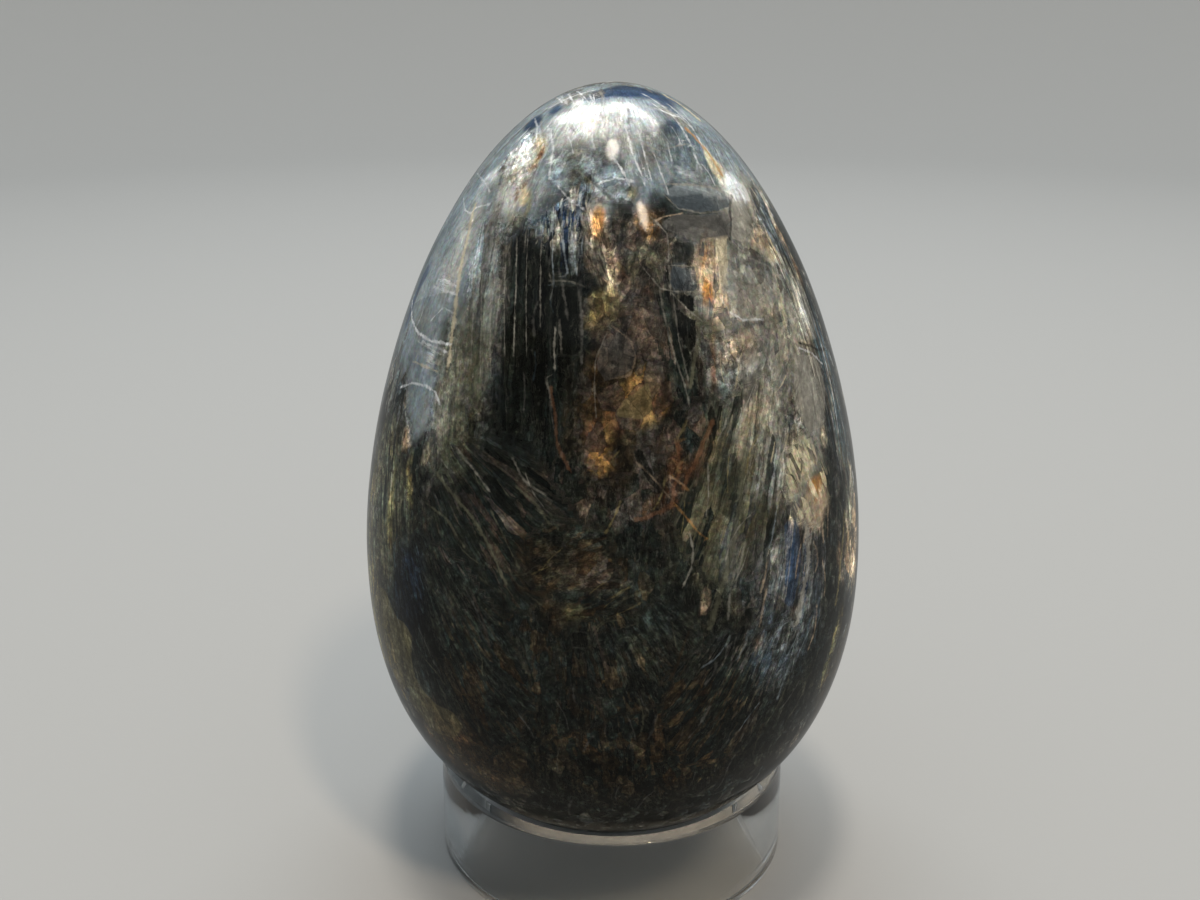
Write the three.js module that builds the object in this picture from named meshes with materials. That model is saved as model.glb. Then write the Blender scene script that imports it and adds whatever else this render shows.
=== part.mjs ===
// Stone egg on a ring stand: a polished mineral egg that stands, blunt end down, in a clear plastic ring.
// Millimetres, +Z up. The origin is the centre of the ring's underside, on the table.

import * as THREE from "three";

// Egg: its fullest section lies below the middle of its length
const EGG_LENGTH = 63.8;
const EGG_DIAMETER = 42.3;
const EGG_FULLEST_BELOW_MIDDLE = 7.8;

// Ring stand: a short collar, a little narrower at the top, with a bevelled seat inside its lip
const RING_BASE_DIAMETER = 31.8;
const RING_TOP_DIAMETER = 31.3;
const RING_HEIGHT = 9.4;
const RING_WALL = 2.2;
const LIP_WIDTH = 1.1;
const SEAT_ANGLE = THREE.MathUtils.degToRad(45);
const EDGE_ROUND = 0.3;

// Clearance between the egg and the edge that carries it, square to the egg's surface
const SEAT_GAP = 0.3;

// Facets: steps round the axis, along the egg on each side of its fullest section, and round an edge
const TURN_STEPS = 72;
const EGG_LOWER_STEPS = 14;
const EGG_UPPER_STEPS = 18;
const EDGE_STEPS = 3;

// Sizes that follow from the ones above
const baseRadius = RING_BASE_DIAMETER / 2;
const topRadius = RING_TOP_DIAMETER / 2;
const boreRadius = baseRadius - RING_WALL;
const seatRadius = topRadius - LIP_WIDTH;
const seatDrop = (seatRadius - boreRadius) / Math.tan(SEAT_ANGLE);

// Shared factor of the egg's outline, at a height measured from the middle of its length
function eggSpread(height) {
  return EGG_LENGTH ** 2 + 8 * EGG_FULLEST_BELOW_MIDDLE * height + 4 * EGG_FULLEST_BELOW_MIDDLE ** 2;
}

// Radius of the egg at a height measured from the middle of its length: an ellipse whose
// denominator grows with height, which fills the lower end out and draws the upper end in
function eggRadius(height) {
  const span = Math.max(EGG_LENGTH ** 2 - 4 * height ** 2, 0);
  return (EGG_DIAMETER / 2) * Math.sqrt(span / eggSpread(height));
}

// Height below the fullest section at which the egg has a given radius: the same formula, solved for height
function eggHeightAt(radius) {
  const share = (2 * radius / EGG_DIAMETER) ** 2;
  const shift = share * EGG_FULLEST_BELOW_MIDDLE;
  const rest = share * (EGG_LENGTH ** 2 + 4 * EGG_FULLEST_BELOW_MIDDLE ** 2) - EGG_LENGTH ** 2;
  return -shift - Math.sqrt(shift ** 2 - rest / 4);
}

// Rise of the egg's surface for each millimetre outwards, at a given height
function eggSlope(height) {
  const span = EGG_LENGTH ** 2 - 4 * height ** 2;
  const spread = eggSpread(height);
  const squareGrowth = (-8 * height * spread - 8 * EGG_FULLEST_BELOW_MIDDLE * span) / spread ** 2;
  const radiusGrowth = (EGG_DIAMETER / 2) ** 2 * squareGrowth / (2 * eggRadius(height));
  return 1 / radiusGrowth;
}

// Turn an outline of radius and height pairs round the upright axis
function turned(outline) {
  const points = outline.map(([radius, height]) => new THREE.Vector2(radius, height));
  return new THREE.LatheGeometry(points, TURN_STEPS).rotateX(Math.PI / 2);
}

// Quarter round about a centre, from one angle to another
function rounded(centreRadius, centreHeight, fromAngle, toAngle) {
  const points = [];
  for (let i = 0; i <= EDGE_STEPS; i += 1) {
    const angle = fromAngle + (toAngle - fromAngle) * i / EDGE_STEPS;
    points.push([centreRadius + EDGE_ROUND * Math.cos(angle), centreHeight + EDGE_ROUND * Math.sin(angle)]);
  }
  return points;
}

// The egg's outline from its blunt pole to its pointed one, in steps that crowd towards both poles
function eggOutline() {
  const lowerSpan = EGG_LENGTH / 2 - EGG_FULLEST_BELOW_MIDDLE;
  const upperSpan = EGG_LENGTH / 2 + EGG_FULLEST_BELOW_MIDDLE;
  const heights = [];
  for (let i = 0; i < EGG_LOWER_STEPS; i += 1) {
    heights.push(-EGG_FULLEST_BELOW_MIDDLE - lowerSpan * Math.cos(Math.PI / 2 * i / EGG_LOWER_STEPS));
  }
  for (let i = 0; i <= EGG_UPPER_STEPS; i += 1) {
    heights.push(-EGG_FULLEST_BELOW_MIDDLE + upperSpan * Math.sin(Math.PI / 2 * i / EGG_UPPER_STEPS));
  }
  return heights.map((height) => [eggRadius(height), height]);
}

// The ring's section, anticlockwise: underside, outer wall, lip, bevelled seat and bore
function ringOutline() {
  const outline = [
    ...rounded(boreRadius + EDGE_ROUND, EDGE_ROUND, -Math.PI, -Math.PI / 2),
    ...rounded(baseRadius - EDGE_ROUND, EDGE_ROUND, -Math.PI / 2, 0),
    ...rounded(topRadius - EDGE_ROUND, RING_HEIGHT - EDGE_ROUND, 0, Math.PI / 2),
    [seatRadius, RING_HEIGHT],
    [boreRadius, RING_HEIGHT - seatDrop],
  ];
  return [...outline, outline[0]];
}

function makeEgg() {
  const stone = new THREE.MeshStandardMaterial({ color: "#3d3d42", roughness: 0.12, metalness: 0 });
  const egg = new THREE.Mesh(turned(eggOutline()), stone);
  const contactHeight = eggHeightAt(seatRadius);
  const lift = SEAT_GAP / Math.cos(Math.atan(eggSlope(contactHeight)));
  egg.position.z = RING_HEIGHT - contactHeight + lift;
  egg.name = "stone_egg";
  return egg;
}

function makeRing() {
  const clearPlastic = new THREE.MeshStandardMaterial({
    color: "#e6ecee",
    roughness: 0.05,
    metalness: 0,
    transparent: true,
    opacity: 0.3,
  });
  const ring = new THREE.Mesh(turned(ringOutline()), clearPlastic);
  ring.name = "display_ring";
  return ring;
}

const stoneEggOnStand = new THREE.Group();
stoneEggOnStand.add(makeRing(), makeEgg());

export default stoneEggOnStand;
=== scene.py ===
"""Looks of a polished stone egg that stands blunt end down in a clear plastic ring.

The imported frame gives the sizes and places. The egg and the ring are surfaces worked out with numpy,
the stone's minerals are painted on the egg as attributes, and its material adds the fine grain.
"""

import math
from collections import namedtuple

import bpy
import numpy as np
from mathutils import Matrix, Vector


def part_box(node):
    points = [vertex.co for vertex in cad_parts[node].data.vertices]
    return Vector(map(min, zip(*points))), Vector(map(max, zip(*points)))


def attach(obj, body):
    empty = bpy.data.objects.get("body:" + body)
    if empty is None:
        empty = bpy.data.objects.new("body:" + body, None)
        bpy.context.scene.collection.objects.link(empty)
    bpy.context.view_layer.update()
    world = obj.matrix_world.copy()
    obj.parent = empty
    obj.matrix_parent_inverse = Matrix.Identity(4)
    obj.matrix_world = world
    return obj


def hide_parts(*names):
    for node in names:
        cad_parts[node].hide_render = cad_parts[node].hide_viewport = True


bl_info = {
    "name": "Stone Egg on Ring Stand",
    "version": (1, 0, 0),
    "blender": (4, 5, 0),
    "location": "3D View > Sidebar > Stone Egg",
    "description": "Dresses a polished stone egg, its clear ring stand and a plain studio",
    "category": "Object",
}

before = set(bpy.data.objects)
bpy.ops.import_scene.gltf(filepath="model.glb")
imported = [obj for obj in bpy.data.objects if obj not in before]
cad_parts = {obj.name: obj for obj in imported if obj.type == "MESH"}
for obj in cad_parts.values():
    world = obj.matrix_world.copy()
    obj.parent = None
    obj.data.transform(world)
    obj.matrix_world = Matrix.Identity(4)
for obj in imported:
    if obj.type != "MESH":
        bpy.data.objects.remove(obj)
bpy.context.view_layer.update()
EGG_LOW, EGG_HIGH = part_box("stone_egg")
RING_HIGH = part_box("display_ring")[1]

MM = 0.001
FULL_TURN = 2.0 * math.pi

# The photograph looks down on the egg, so places on its front are read on a plane tilted back by this.
FACE_TILT = math.radians(22.0)

# Steps along a line of sight that look for the egg's skin, the share of its true size to which a feature
# on a receding side may be foreshortened, and the step, in millimetres, that measures the skin's slope
SIGHT_STEPS = 2401
LEAST_FACING = 0.45
SLOPE_STEP = 0.01


def display_colour(red, green, blue):
    """Scene-linear colour of a display colour whose channels run from 0 to 255."""
    display = np.array((red, green, blue)) / 255.0
    linear = np.where(display <= 0.04045, display / 12.92, ((display + 0.055) / 1.055) ** 2.4)
    return tuple(float(channel) for channel in linear)


def colour_property(name, description, red, green, blue):
    """A colour setting whose default is given as a display colour from 0 to 255."""
    return bpy.props.FloatVectorProperty(
        name=name,
        description=description,
        subtype="COLOR",
        size=3,
        min=0.0,
        max=1.0,
        default=display_colour(red, green, blue),
    )


def length_property(name, description, default):
    """A length setting in metres."""
    return bpy.props.FloatProperty(name=name, description=description, unit="LENGTH", default=default)


def angle_property(name, description, degrees):
    """An angle setting whose default is given in degrees."""
    return bpy.props.FloatProperty(
        name=name, description=description, subtype="ANGLE", default=math.radians(degrees)
    )


def steps_property(name, description, default):
    """A number of mesh rings or steps."""
    return bpy.props.IntProperty(name=name, description=description, min=3, default=default)


class StonePalette(bpy.types.PropertyGroup):
    """Colours of the minerals in the stone."""

    ink: colour_property("Ink", "Near-black depths between the blades", 10, 12, 9)
    charcoal: colour_property("Charcoal", "Dark grey blades", 27, 31, 28)
    slate: colour_property("Slate", "Blue-grey glassy shards", 66, 74, 80)
    umber: colour_property("Umber", "Dark brown body", 46, 37, 25)
    mauve: colour_property("Mauve", "Brownish purple depths", 66, 58, 52)
    olive: colour_property("Olive", "Grey-green translucent mica", 86, 86, 71)
    rind: colour_property("Rind", "Ochre strips along the sides", 122, 112, 76)
    navy: colour_property("Navy", "Blue kyanite blades", 50, 70, 98)
    midnight: colour_property("Midnight", "Deepest blue", 18, 24, 32)
    teal: colour_property("Teal", "Dark blue-green glass", 58, 72, 78)
    ice: colour_property("Ice", "Blue-grey glassy blades", 132, 143, 150)
    mist: colour_property("Mist", "Pale grey quartz", 144, 142, 133)
    smoke: colour_property("Smoke", "Smoky grey facets", 92, 91, 88)
    milk: colour_property("Milk", "White cleavage flakes", 238, 242, 246)
    cream: colour_property("Cream", "Cream grains", 206, 194, 164)
    peach: colour_property("Peach", "Pinkish tan feldspar", 184, 164, 140)
    amber: colour_property("Amber", "Yellow-orange iron stain", 168, 124, 72)
    rust: colour_property("Rust", "Red-brown iron stain", 114, 78, 54)


class EggSettings(bpy.types.PropertyGroup):
    """Shape and polish of the stone egg."""

    fullest_below_middle: length_property(
        "Fullest part", "How far the widest part lies below the egg's middle", 0.0078
    )
    waviness: length_property("Waviness", "Depth of the hand-polished surface's slow waves", 0.00003)
    rings: steps_property("Rings", "Mesh rings from pole to pole", 256)
    steps: steps_property("Steps", "Mesh steps round the egg", 380)
    polish: bpy.props.FloatProperty(
        name="Polish", description="Roughness of the polished outer skin", subtype="FACTOR", default=0.05
    )


class RingSettings(bpy.types.PropertyGroup):
    """Shape and finish of the clear ring stand."""

    base_wall: length_property("Wall", "Thickness of the ring's wall at its foot", 0.0022)
    base_spread: length_property("Base spread", "How much wider the foot is than the top, each side", 0.00025)
    lip: length_property("Lip", "Width of the flat rim on top", 0.0011)
    edge_round: length_property("Edge round", "Radius of the softened outer edges", 0.0003)
    seat_round: length_property("Seat round", "Radius of the softened seat edges", 0.00012)
    steps: steps_property("Steps", "Mesh steps round the ring", 360)
    tint: colour_property("Tint", "Colour of the clear acrylic", 232, 236, 237)


class StageSettings(bpy.types.PropertyGroup):
    """Floor, lamps and camera."""

    floor_colour: colour_property("Floor", "Colour of the studio sweep", 166, 167, 166)
    sky_strength: bpy.props.FloatProperty(name="Sky", description="Strength of the even fill", default=0.6)
    camera_place: bpy.props.FloatVectorProperty(
        name="Camera",
        description="Place of the camera",
        subtype="TRANSLATION",
        default=(0.0, -0.10297, 0.07827),
    )
    camera_turn: angle_property("Turn", "Turn of the camera to the right", -0.601)
    camera_dip: angle_property("Dip", "Angle of the camera below level", 21.373)
    camera_lens: bpy.props.FloatProperty(
        name="Lens", description="Focal length in millimetres", unit="CAMERA", default=39.0
    )


# Shape of the egg, in millimetres


class EggForm:
    """The egg as a surface of revolution, standing in the frame, in millimetres."""

    def __init__(self, fullest_below_middle):
        self.length = (EGG_HIGH[2] - EGG_LOW[2]) / MM
        self.diameter = (EGG_HIGH[0] - EGG_LOW[0]) / MM
        self.bottom = EGG_LOW[2] / MM
        self.low = fullest_below_middle / MM

    def radius_squared(self, z):
        """Squared distance from the axis at height z above the floor: with h measured from mid-length,
        L the length, D the diameter and w the drop of the fullest part,
        (D / 2)^2 * (L^2 - 4 h^2) / (L^2 + 8 w h + 4 w^2), and below zero past the ends."""
        h = z - self.bottom - self.length / 2.0
        size = self.length**2 + 8.0 * self.low * h + 4.0 * self.low**2
        return (self.diameter / 2.0) ** 2 * (self.length**2 - 4.0 * h**2) / np.maximum(size, 1.0)

    def outward(self, points):
        """Unit normals at points on the surface: the gradient of x^2 + y^2 - radius_squared(z)."""
        x, y, z = points.T
        rise = self.radius_squared(z + SLOPE_STEP) - self.radius_squared(z - SLOPE_STEP)
        return unit(np.stack((2.0 * x, 2.0 * y, -rise / (2.0 * SLOPE_STEP)), axis=1))

    def lift(self, places, azimuth=0.0):
        """Points of the surface behind flat places (across, up) of the face turned by azimuth: along each
        line of sight the first step that is inside the egg, or past the rim the step nearest to it."""
        across, up, away = face_axes(azimuth)
        places = np.atleast_2d(np.asarray(places, dtype=float))
        depth = np.linspace(-self.length, self.length, SIGHT_STEPS)
        line = places[:, :1] * across + places[:, 1:2] * up
        trial = line[:, None, :] + depth[None, :, None] * away
        outside = trial[..., 0] ** 2 + trial[..., 1] ** 2 - self.radius_squared(trial[..., 2])
        first = np.argmax(outside < 0.0, axis=1)
        nearest = np.argmin(outside, axis=1)
        chosen = np.where((outside < 0.0).any(axis=1), first, nearest)
        return trial[np.arange(len(places)), chosen]

    def setting(self, place, lean, azimuth=0.0):
        """Centre and the across, outward and along axes of a feature that lies on the surface at a flat
        place, its along axis leaning clockwise from upright by lean degrees as the face shows it."""
        centre = self.lift(place, azimuth)
        outward = self.outward(centre)[0]
        across, up, away = face_axes(azimuth)
        flat = across * math.sin(math.radians(lean)) + up * math.cos(math.radians(lean))
        facing = -max(-float(outward @ away), LEAST_FACING)
        along = unit(flat - away * float(outward @ flat) / facing)
        along = unit(along - outward * float(outward @ along))
        return centre[0], np.cross(along, outward), outward, along


def unit(vectors):
    """Vectors scaled to length 1."""
    return vectors / np.maximum(np.linalg.norm(vectors, axis=-1, keepdims=True), 1e-9)


def face_axes(azimuth):
    """Across, up and away axes of the tilted face turned by azimuth degrees about the upright axis."""
    turn = math.radians(azimuth)
    level_away = np.array((-math.sin(turn), math.cos(turn), 0.0))
    upright = np.array((0.0, 0.0, 1.0))
    across = np.array((math.cos(turn), math.sin(turn), 0.0))
    up = level_away * math.sin(FACE_TILT) + upright * math.cos(FACE_TILT)
    away = level_away * math.cos(FACE_TILT) - upright * math.sin(FACE_TILT)
    return across, up, away


def ripples(points, wavelength, seed, waves=20):
    """Smooth random hills with a spread of about 0.5: the mean of plane waves of one wavelength with
    random directions and phases, scaled by the square root of their number."""
    random = np.random.default_rng(seed)
    direction = unit(random.normal(size=(waves, 3))) * FULL_TURN / wavelength
    phase = random.uniform(0.0, FULL_TURN, waves)
    return np.cos(points @ direction.T + phase).sum(axis=1) / math.sqrt(2.0 * waves)


def smooth_step(low, high, values):
    """0 at low, 1 at high and an S-curve between."""
    share = np.clip((values - low) / (high - low), 0.0, 1.0)
    return share * share * (3.0 - 2.0 * share)


# Minerals in the stone. Places are (across, up) in millimetres on the tilted front face, and lean is
# the clockwise angle from upright in degrees. A feature with an azimuth lies on a turned face instead.

Patch = namedtuple("Patch", "colour place size lean soft strength azimuth", defaults=(0.5, 1.0, 0.0))
Cluster = namedtuple("Cluster", "place size lean spread blade traits azimuth", defaults=(0.0,))
Second = namedtuple("Second", "colour place size lean share azimuth", defaults=(0.0,))
Facet = namedtuple("Facet", "colour strength points azimuth", defaults=(0.0,))
Line = namedtuple("Line", "colour width strength points azimuth", defaults=(0.0,))
Fibres = namedtuple("Fibres", "place size lean count reach colours strength")

PATCHES = [Patch(*row) for row in (
    # Crown
    ("ice", (0, 57.5), (13, 7.5), 0, 0.3, 0.97),
    ("mist", (-0.6, 58.2), (4.2, 2.2), 0, 0.7, 0.8),
    ("milk", (-0.8, 58.4), (2.6, 1.4), 0, 0.8, 0.35),
    ("navy", (0.8, 61.9), (3.8, 0.8), -4, 0.35),
    ("midnight", (1.2, 62.2), (2.6, 0.35), -4, 0.5, 0.5),
    ("navy", (4, 60.6), (2, 0.7), 60, 0.4, 0.7),
    ("mist", (-2.9, 61.6), (1.9, 0.7), 0, 0.5, 0.6),
    ("milk", (-2.4, 61), (0.9, 0.5), 70, 0.5, 0.6),
    ("midnight", (-6.1, 59.5), (0.8, 0.9), 20, 0.3, 0.9),
    ("navy", (-6.2, 59.6), (0.8, 0.9), 20, 0.4, 0.9),
    ("navy", (-4.5, 60.4), (0.6, 0.6), 10, 0.4, 0.9),
    ("midnight", (4.2, 58.9), (0.7, 0.9), -50, 0.3, 0.95),
    ("navy", (4.4, 58.8), (0.8, 0.9), -50, 0.4, 0.9),
    # Painted reflection: a white crescent over the crown, soft along its lower edge, that brightens the back
    # softbox's own reflection there
    ("milk", (-0.8, 59.4), (3.4, 1.7), 0, 0.7, 0.6),
    ("milk", (-2.5, 59.8), (0.75, 1.9), 78, 0.35),
    ("milk", (-0.1, 60.4), (1.8, 0.7), 0, 0.35),
    ("milk", (1.7, 60), (0.6, 1.4), -55, 0.35),
    ("milk", (2.8, 58.9), (0.45, 1.1), -38, 0.4, 0.95),
    ("mist", (4.6, 59.8), (0.4, 2.4), -58, 0.5, 0.7),
    ("smoke", (-1.5, 56), (0.7, 1.4), 10, 0.5, 0.5),
    ("smoke", (-2.9, 56.2), (0.8, 0.9), 40, 0.5, 0.5),
    ("olive", (-3.3, 54.8), (1, 0.5), 70, 0.4, 0.7),
    ("umber", (-3.4, 54.7), (0.5, 0.3), 70, 0.4, 0.6),
    ("smoke", (2.5, 55.9), (0.9, 1.2), -12, 0.5, 0.8),
    ("charcoal", (0.4, 55), (0.9, 0.4), 60, 0.5, 0.6),
    ("teal", (-1, 55), (0.8, 0.6), 0, 0.5, 0.5),
    ("rind", (1.5, 53.7), (0.6, 0.4), 60, 0.5, 0.7),
    ("rind", (-2.5, 54.1), (0.5, 0.25), 50, 0.4, 0.7),
    ("smoke", (-4.4, 53.6), (0.9, 0.8), 0, 0.5, 0.5),
    ("ice", (6.2, 57), (2.4, 2.2), -20, 0.4, 0.7),
    ("teal", (0, 56), (2.6, 4), 0, 0.4, 0.6, 40),
    # Cream grains at the upper left
    ("mist", (-8.2, 53.8), (3, 2.4), 10, 0.35, 0.9),
    ("milk", (-7.7, 53.4), (1, 1.5), 10, 0.6, 0.35),
    ("milk", (-9.4, 54.9), (1.4, 0.7), -40, 0.35, 0.8),
    ("cream", (-6.7, 56.5), (1.6, 2), 6, 0.2),
    ("milk", (-7, 56.8), (1.1, 1.5), 20, 0.5, 0.85),
    ("milk", (-6.6, 55.4), (1.2, 0.7), 80, 0.4, 0.7),
    ("rust", (-5.5, 56.4), (0.3, 0.4), 0, 0.3, 0.85),
    ("rust", (-5.9, 55.5), (0.4, 0.25), 0, 0.3, 0.7),
    ("mauve", (-8.4, 55.7), (0.4, 0.3), 0, 0.3, 0.7),
    ("cream", (-6.1, 53.6), (0.45, 0.8), 4, 0.3, 0.9),
    ("rust", (-6.9, 53.6), (0.3, 0.7), 0, 0.3, 0.8),
    ("rind", (-6.3, 51.6), (0.7, 0.7), 0, 0.6, 0.5),
    ("rind", (-5.6, 53.2), (0.2, 1.4), 4, 0.4, 0.6),
    ("smoke", (-8.9, 51.2), (1.5, 2), 0, 0.4, 0.7),
    ("midnight", (-3.6, 52.6), (1.9, 1.7), 0, 0.35, 0.7),
    # Blue-grey glass on the left
    ("ice", (0, 45), (6.5, 8), 0, 0.25, 0.97, -66),
    ("teal", (0, 40.6), (2.2, 7.6), 4, 0.4, 0.75, -84),
    ("ice", (-13.4, 43.6), (2.9, 5.4), 15, 0.25, 0.9),
    ("ice", (-10.6, 50), (1.8, 5), 14, 0.4, 0.9),
    ("mist", (-11.4, 49.6), (1.3, 4), 16, 0.6, 0.7),
    ("mist", (-14.4, 44.6), (1.2, 1.4), 16, 0.6, 0.5),
    ("milk", (-12.2, 48.6), (1.5, 4.2), 16, 0.7, 0.22),
    ("milk", (-13.6, 42), (1.3, 0.6), -30, 0.6, 0.25),
    ("navy", (0, 43.2), (0.8, 2.6), 0, 0.35, 0.85, -74),
    ("teal", (-12, 43.2), (1, 1.2), 20, 0.5, 0.7),
    ("mist", (-9.2, 46.6), (1.3, 6.6), 6, 0.35, 0.5),
    ("smoke", (-8.6, 44), (0.9, 5), 4, 0.5, 0.6),
    ("olive", (-11.4, 39), (2.3, 5.6), 6, 0.4, 0.95),
    ("mist", (-11.8, 41), (1.4, 3.2), 6, 0.6, 0.2),
    ("mist", (-13.1, 37.4), (1.5, 3.2), 6, 0.5, 0.5),
    ("ice", (-14.6, 38.4), (2, 2.4), 5, 0.35, 0.7),
    ("midnight", (-16.6, 37.2), (1, 1.2), 5, 0.3, 0.9),
    ("mist", (-17.3, 39.6), (0.6, 2.4), 12, 0.4, 0.45),
    # Upright dark blades
    ("ink", (-5.6, 44.4), (2.9, 6.6), 0, 0.25, 0.98),
    ("ink", (-5.6, 37), (3.4, 5.6), 0, 0.4, 0.85),
    ("midnight", (-3.1, 49.6), (1.2, 3), 0, 0.3, 0.85),
    ("navy", (-3.3, 51.4), (0.9, 1.6), 0, 0.5, 0.6),
    ("charcoal", (-1.9, 43.4), (0.7, 3.4), 0, 0.4, 0.7),
    # Amber column and the brown, mottled middle
    ("mauve", (2, 49.2), (2.4, 3.8), 0, 0.35, 0.95),
    ("olive", (2.4, 48), (1.6, 1.6), 0, 0.5, 0.6),
    ("charcoal", (1, 51.4), (0.8, 1.8), 0, 0.4, 0.7),
    # Painted reflection: a warm glow round the front lamp's highlight
    ("amber", (2.7, 51.4), (0.6, 1.2), 0, 0.6, 0.85),
    ("peach", (-0.8, 49), (1, 3.2), -6, 0.3, 0.75),
    ("amber", (-1, 50.6), (0.55, 1.6), 0, 0.35, 0.85),
    ("rust", (0.3, 47.6), (0.5, 1.2), -10, 0.4, 0.6),
    ("rind", (-0.8, 45.2), (1.1, 1.4), 0, 0.35, 0.75),
    ("cream", (-0.4, 47), (1.3, 0.3), -50, 0.5, 0.6),
    ("mauve", (0.8, 43.4), (2.2, 2.4), 0, 0.35, 0.8),
    ("umber", (0.3, 37.5), (3.2, 5), 0, 0.4, 0.95),
    ("rind", (1.8, 38.2), (1.6, 1.3), 60, 0.45, 0.4),
    ("rust", (1.4, 37.8), (0.9, 0.9), 60, 0.45, 0.5),
    ("amber", (2.1, 38.7), (1.4, 1.3), 40, 0.4),
    ("rust", (0.2, 37.6), (1, 0.5), 70, 0.4, 0.6),
    ("rust", (-0.9, 35.3), (0.8, 1.2), 10, 0.5, 0.5),
    ("amber", (-0.9, 34.4), (0.8, 0.7), 10, 0.4, 0.95),
    ("amber", (-0.4, 35.6), (0.5, 1.4), 8, 0.6, 0.45),
    ("mauve", (3, 35.4), (1.1, 1.4), -10, 0.4, 0.6),
    # Pale quartz and orange stains at the upper right
    ("mist", (9.8, 45.6), (4.6, 9.6), -6, 0.25, 0.95),
    ("milk", (9.2, 41.6), (2.2, 3.6), -6, 0.8, 0.1),
    ("mist", (14.4, 41.4), (2.4, 7.4), -10, 0.3, 0.85),
    ("milk", (5.8, 54.8), (1.4, 0.3), -4, 0.6, 0.25),
    ("milk", (8.8, 54.7), (1.3, 1.2), -25, 0.5, 0.8),
    ("cream", (7.4, 56.3), (0.5, 1.6), -24, 0.35, 0.9),
    ("charcoal", (5.8, 51.6), (3.4, 2), 0, 0.3, 0.95),
    ("ink", (3.3, 52.6), (0.6, 1), 0, 0.35, 0.85),
    ("umber", (2.9, 51.7), (0.6, 0.5), 0, 0.4, 0.7),
    ("olive", (9.9, 52.6), (0.6, 1), -10, 0.35, 0.6),
    ("peach", (11, 50.9), (1.1, 0.8), -25, 0.35, 0.85),
    ("cream", (11.7, 50), (0.6, 0.5), -25, 0.35, 0.7),
    ("mist", (10.6, 53.2), (0.9, 3.4), -26, 0.35, 0.7),
    ("slate", (11.3, 52.3), (0.35, 2.4), -28, 0.35, 0.85),
    ("slate", (13, 50.2), (0.4, 1.2), -40, 0.4, 0.7),
    ("mist", (11.8, 53.9), (0.5, 1.5), -28, 0.35, 0.9),
    ("peach", (12.8, 51.6), (0.5, 2.4), -26, 0.4, 0.7),
    ("rust", (0, 45.4), (0.4, 1.8), 0, 0.4, 0.75, 70),
    ("smoke", (10.3, 48.9), (1.6, 0.4), -20, 0.35, 0.65),
    ("peach", (6.5, 48.2), (1.1, 2), 0, 0.3, 0.8),
    ("mauve", (6.9, 48.8), (0.4, 0.6), 0, 0.35, 0.4),
    ("amber", (6.35, 48.8), (0.2, 0.9), 0, 0.4, 0.6),
    ("cream", (7.7, 49.1), (0.4, 0.8), 0, 0.3, 0.8),
    ("cream", (6.4, 47.4), (0.4, 0.5), 0, 0.35, 0.8),
    ("peach", (7.5, 46.6), (0.5, 1), -10, 0.35, 0.8),
    ("amber", (6.7, 46.8), (0.65, 0.45), 60, 0.2, 0.98),
    ("rust", (6.9, 46.3), (0.3, 0.5), 20, 0.3, 0.7),
    ("peach", (7, 45.2), (0.6, 0.6), 0, 0.4, 0.7),
    ("peach", (7.6, 45.9), (0.5, 0.9), -10, 0.35, 0.8),
    ("olive", (6.6, 44.8), (1, 0.7), 40, 0.3, 0.85),
    ("smoke", (9.6, 46), (1.5, 1.2), 0, 0.6, 0.15),
    ("smoke", (9.2, 43.9), (2.9, 0.45), 94, 0.3, 0.5),
    ("smoke", (9.2, 44), (2.5, 0.4), -4, 0.3, 0.85),
    ("peach", (8.9, 42.4), (1.4, 1.3), 30, 0.5, 0.8),
    ("rust", (7.1, 41.6), (0.3, 2.4), -2, 0.35, 0.75),
    ("umber", (7.3, 38.2), (0.6, 2), 0, 0.4, 0.75),
    ("cream", (12.6, 45.4), (0.3, 1.2), -6, 0.35, 0.85),
    ("cream", (14.5, 45.8), (1, 2.8), -16, 0.35, 0.85),
    ("peach", (14.6, 45.4), (0.9, 2.4), -16, 0.4, 0.5),
    ("milk", (14.4, 46), (0.6, 2), -16, 0.6, 0.5),
    ("mist", (14.4, 44.6), (0.9, 1.2), -10, 0.4, 0.8),
    ("olive", (11.6, 40), (1.8, 3.8), -6, 0.35, 0.3),
    ("ink", (16.7, 37.5), (0.5, 1.5), -12, 0.25, 0.9),
    ("teal", (0.7, 33.4), (1.8, 9.6), 0, 0.35, 0.85, 66),
    ("midnight", (0, 34), (0.8, 6), 0, 0.4, 0.6, 62),
    # Dark shards beside the middle
    ("charcoal", (4.6, 44), (1.1, 4.6), 0, 0.35, 0.9),
    ("charcoal", (5.4, 36.8), (1.3, 3.4), 0, 0.4, 0.85),
    # Right side, lower
    ("olive", (9.6, 35.6), (3.6, 4.4), 8, 0.35, 0.85),
    ("mist", (10.6, 36.4), (2.6, 3.8), 8, 0.5, 0.5),
    ("charcoal", (8, 29.6), (2.6, 4.4), 10, 0.4, 0.75),
    ("smoke", (9.4, 27.6), (1.4, 3.4), 12, 0.5, 0.45),
    ("mist", (12.8, 34.4), (3.4, 3.2), 0, 0.35, 0.85),
    ("cream", (14, 34.2), (1.4, 1.4), 0, 0.35, 0.75),
    ("peach", (15.3, 30.5), (1.6, 1.8), -10, 0.3),
    ("cream", (14.4, 30.2), (0.5, 1), 0, 0.5, 0.6),
    ("cream", (13.7, 33.9), (1.6, 1.8), 0, 0.5, 0.5),
    ("ink", (14.3, 31.1), (0.25, 0.4), 0, 0.4, 0.7),
    ("mist", (13.2, 31.8), (1.1, 0.3), 0, 0.4, 0.8),
    ("amber", (15.1, 32.3), (0.9, 0.5), 0, 0.4, 0.9),
    ("amber", (15.5, 31.4), (0.25, 0.55), 0, 0.4, 0.7),
    ("ink", (12.7, 30.6), (1.4, 1), 0, 0.35, 0.7),
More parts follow.
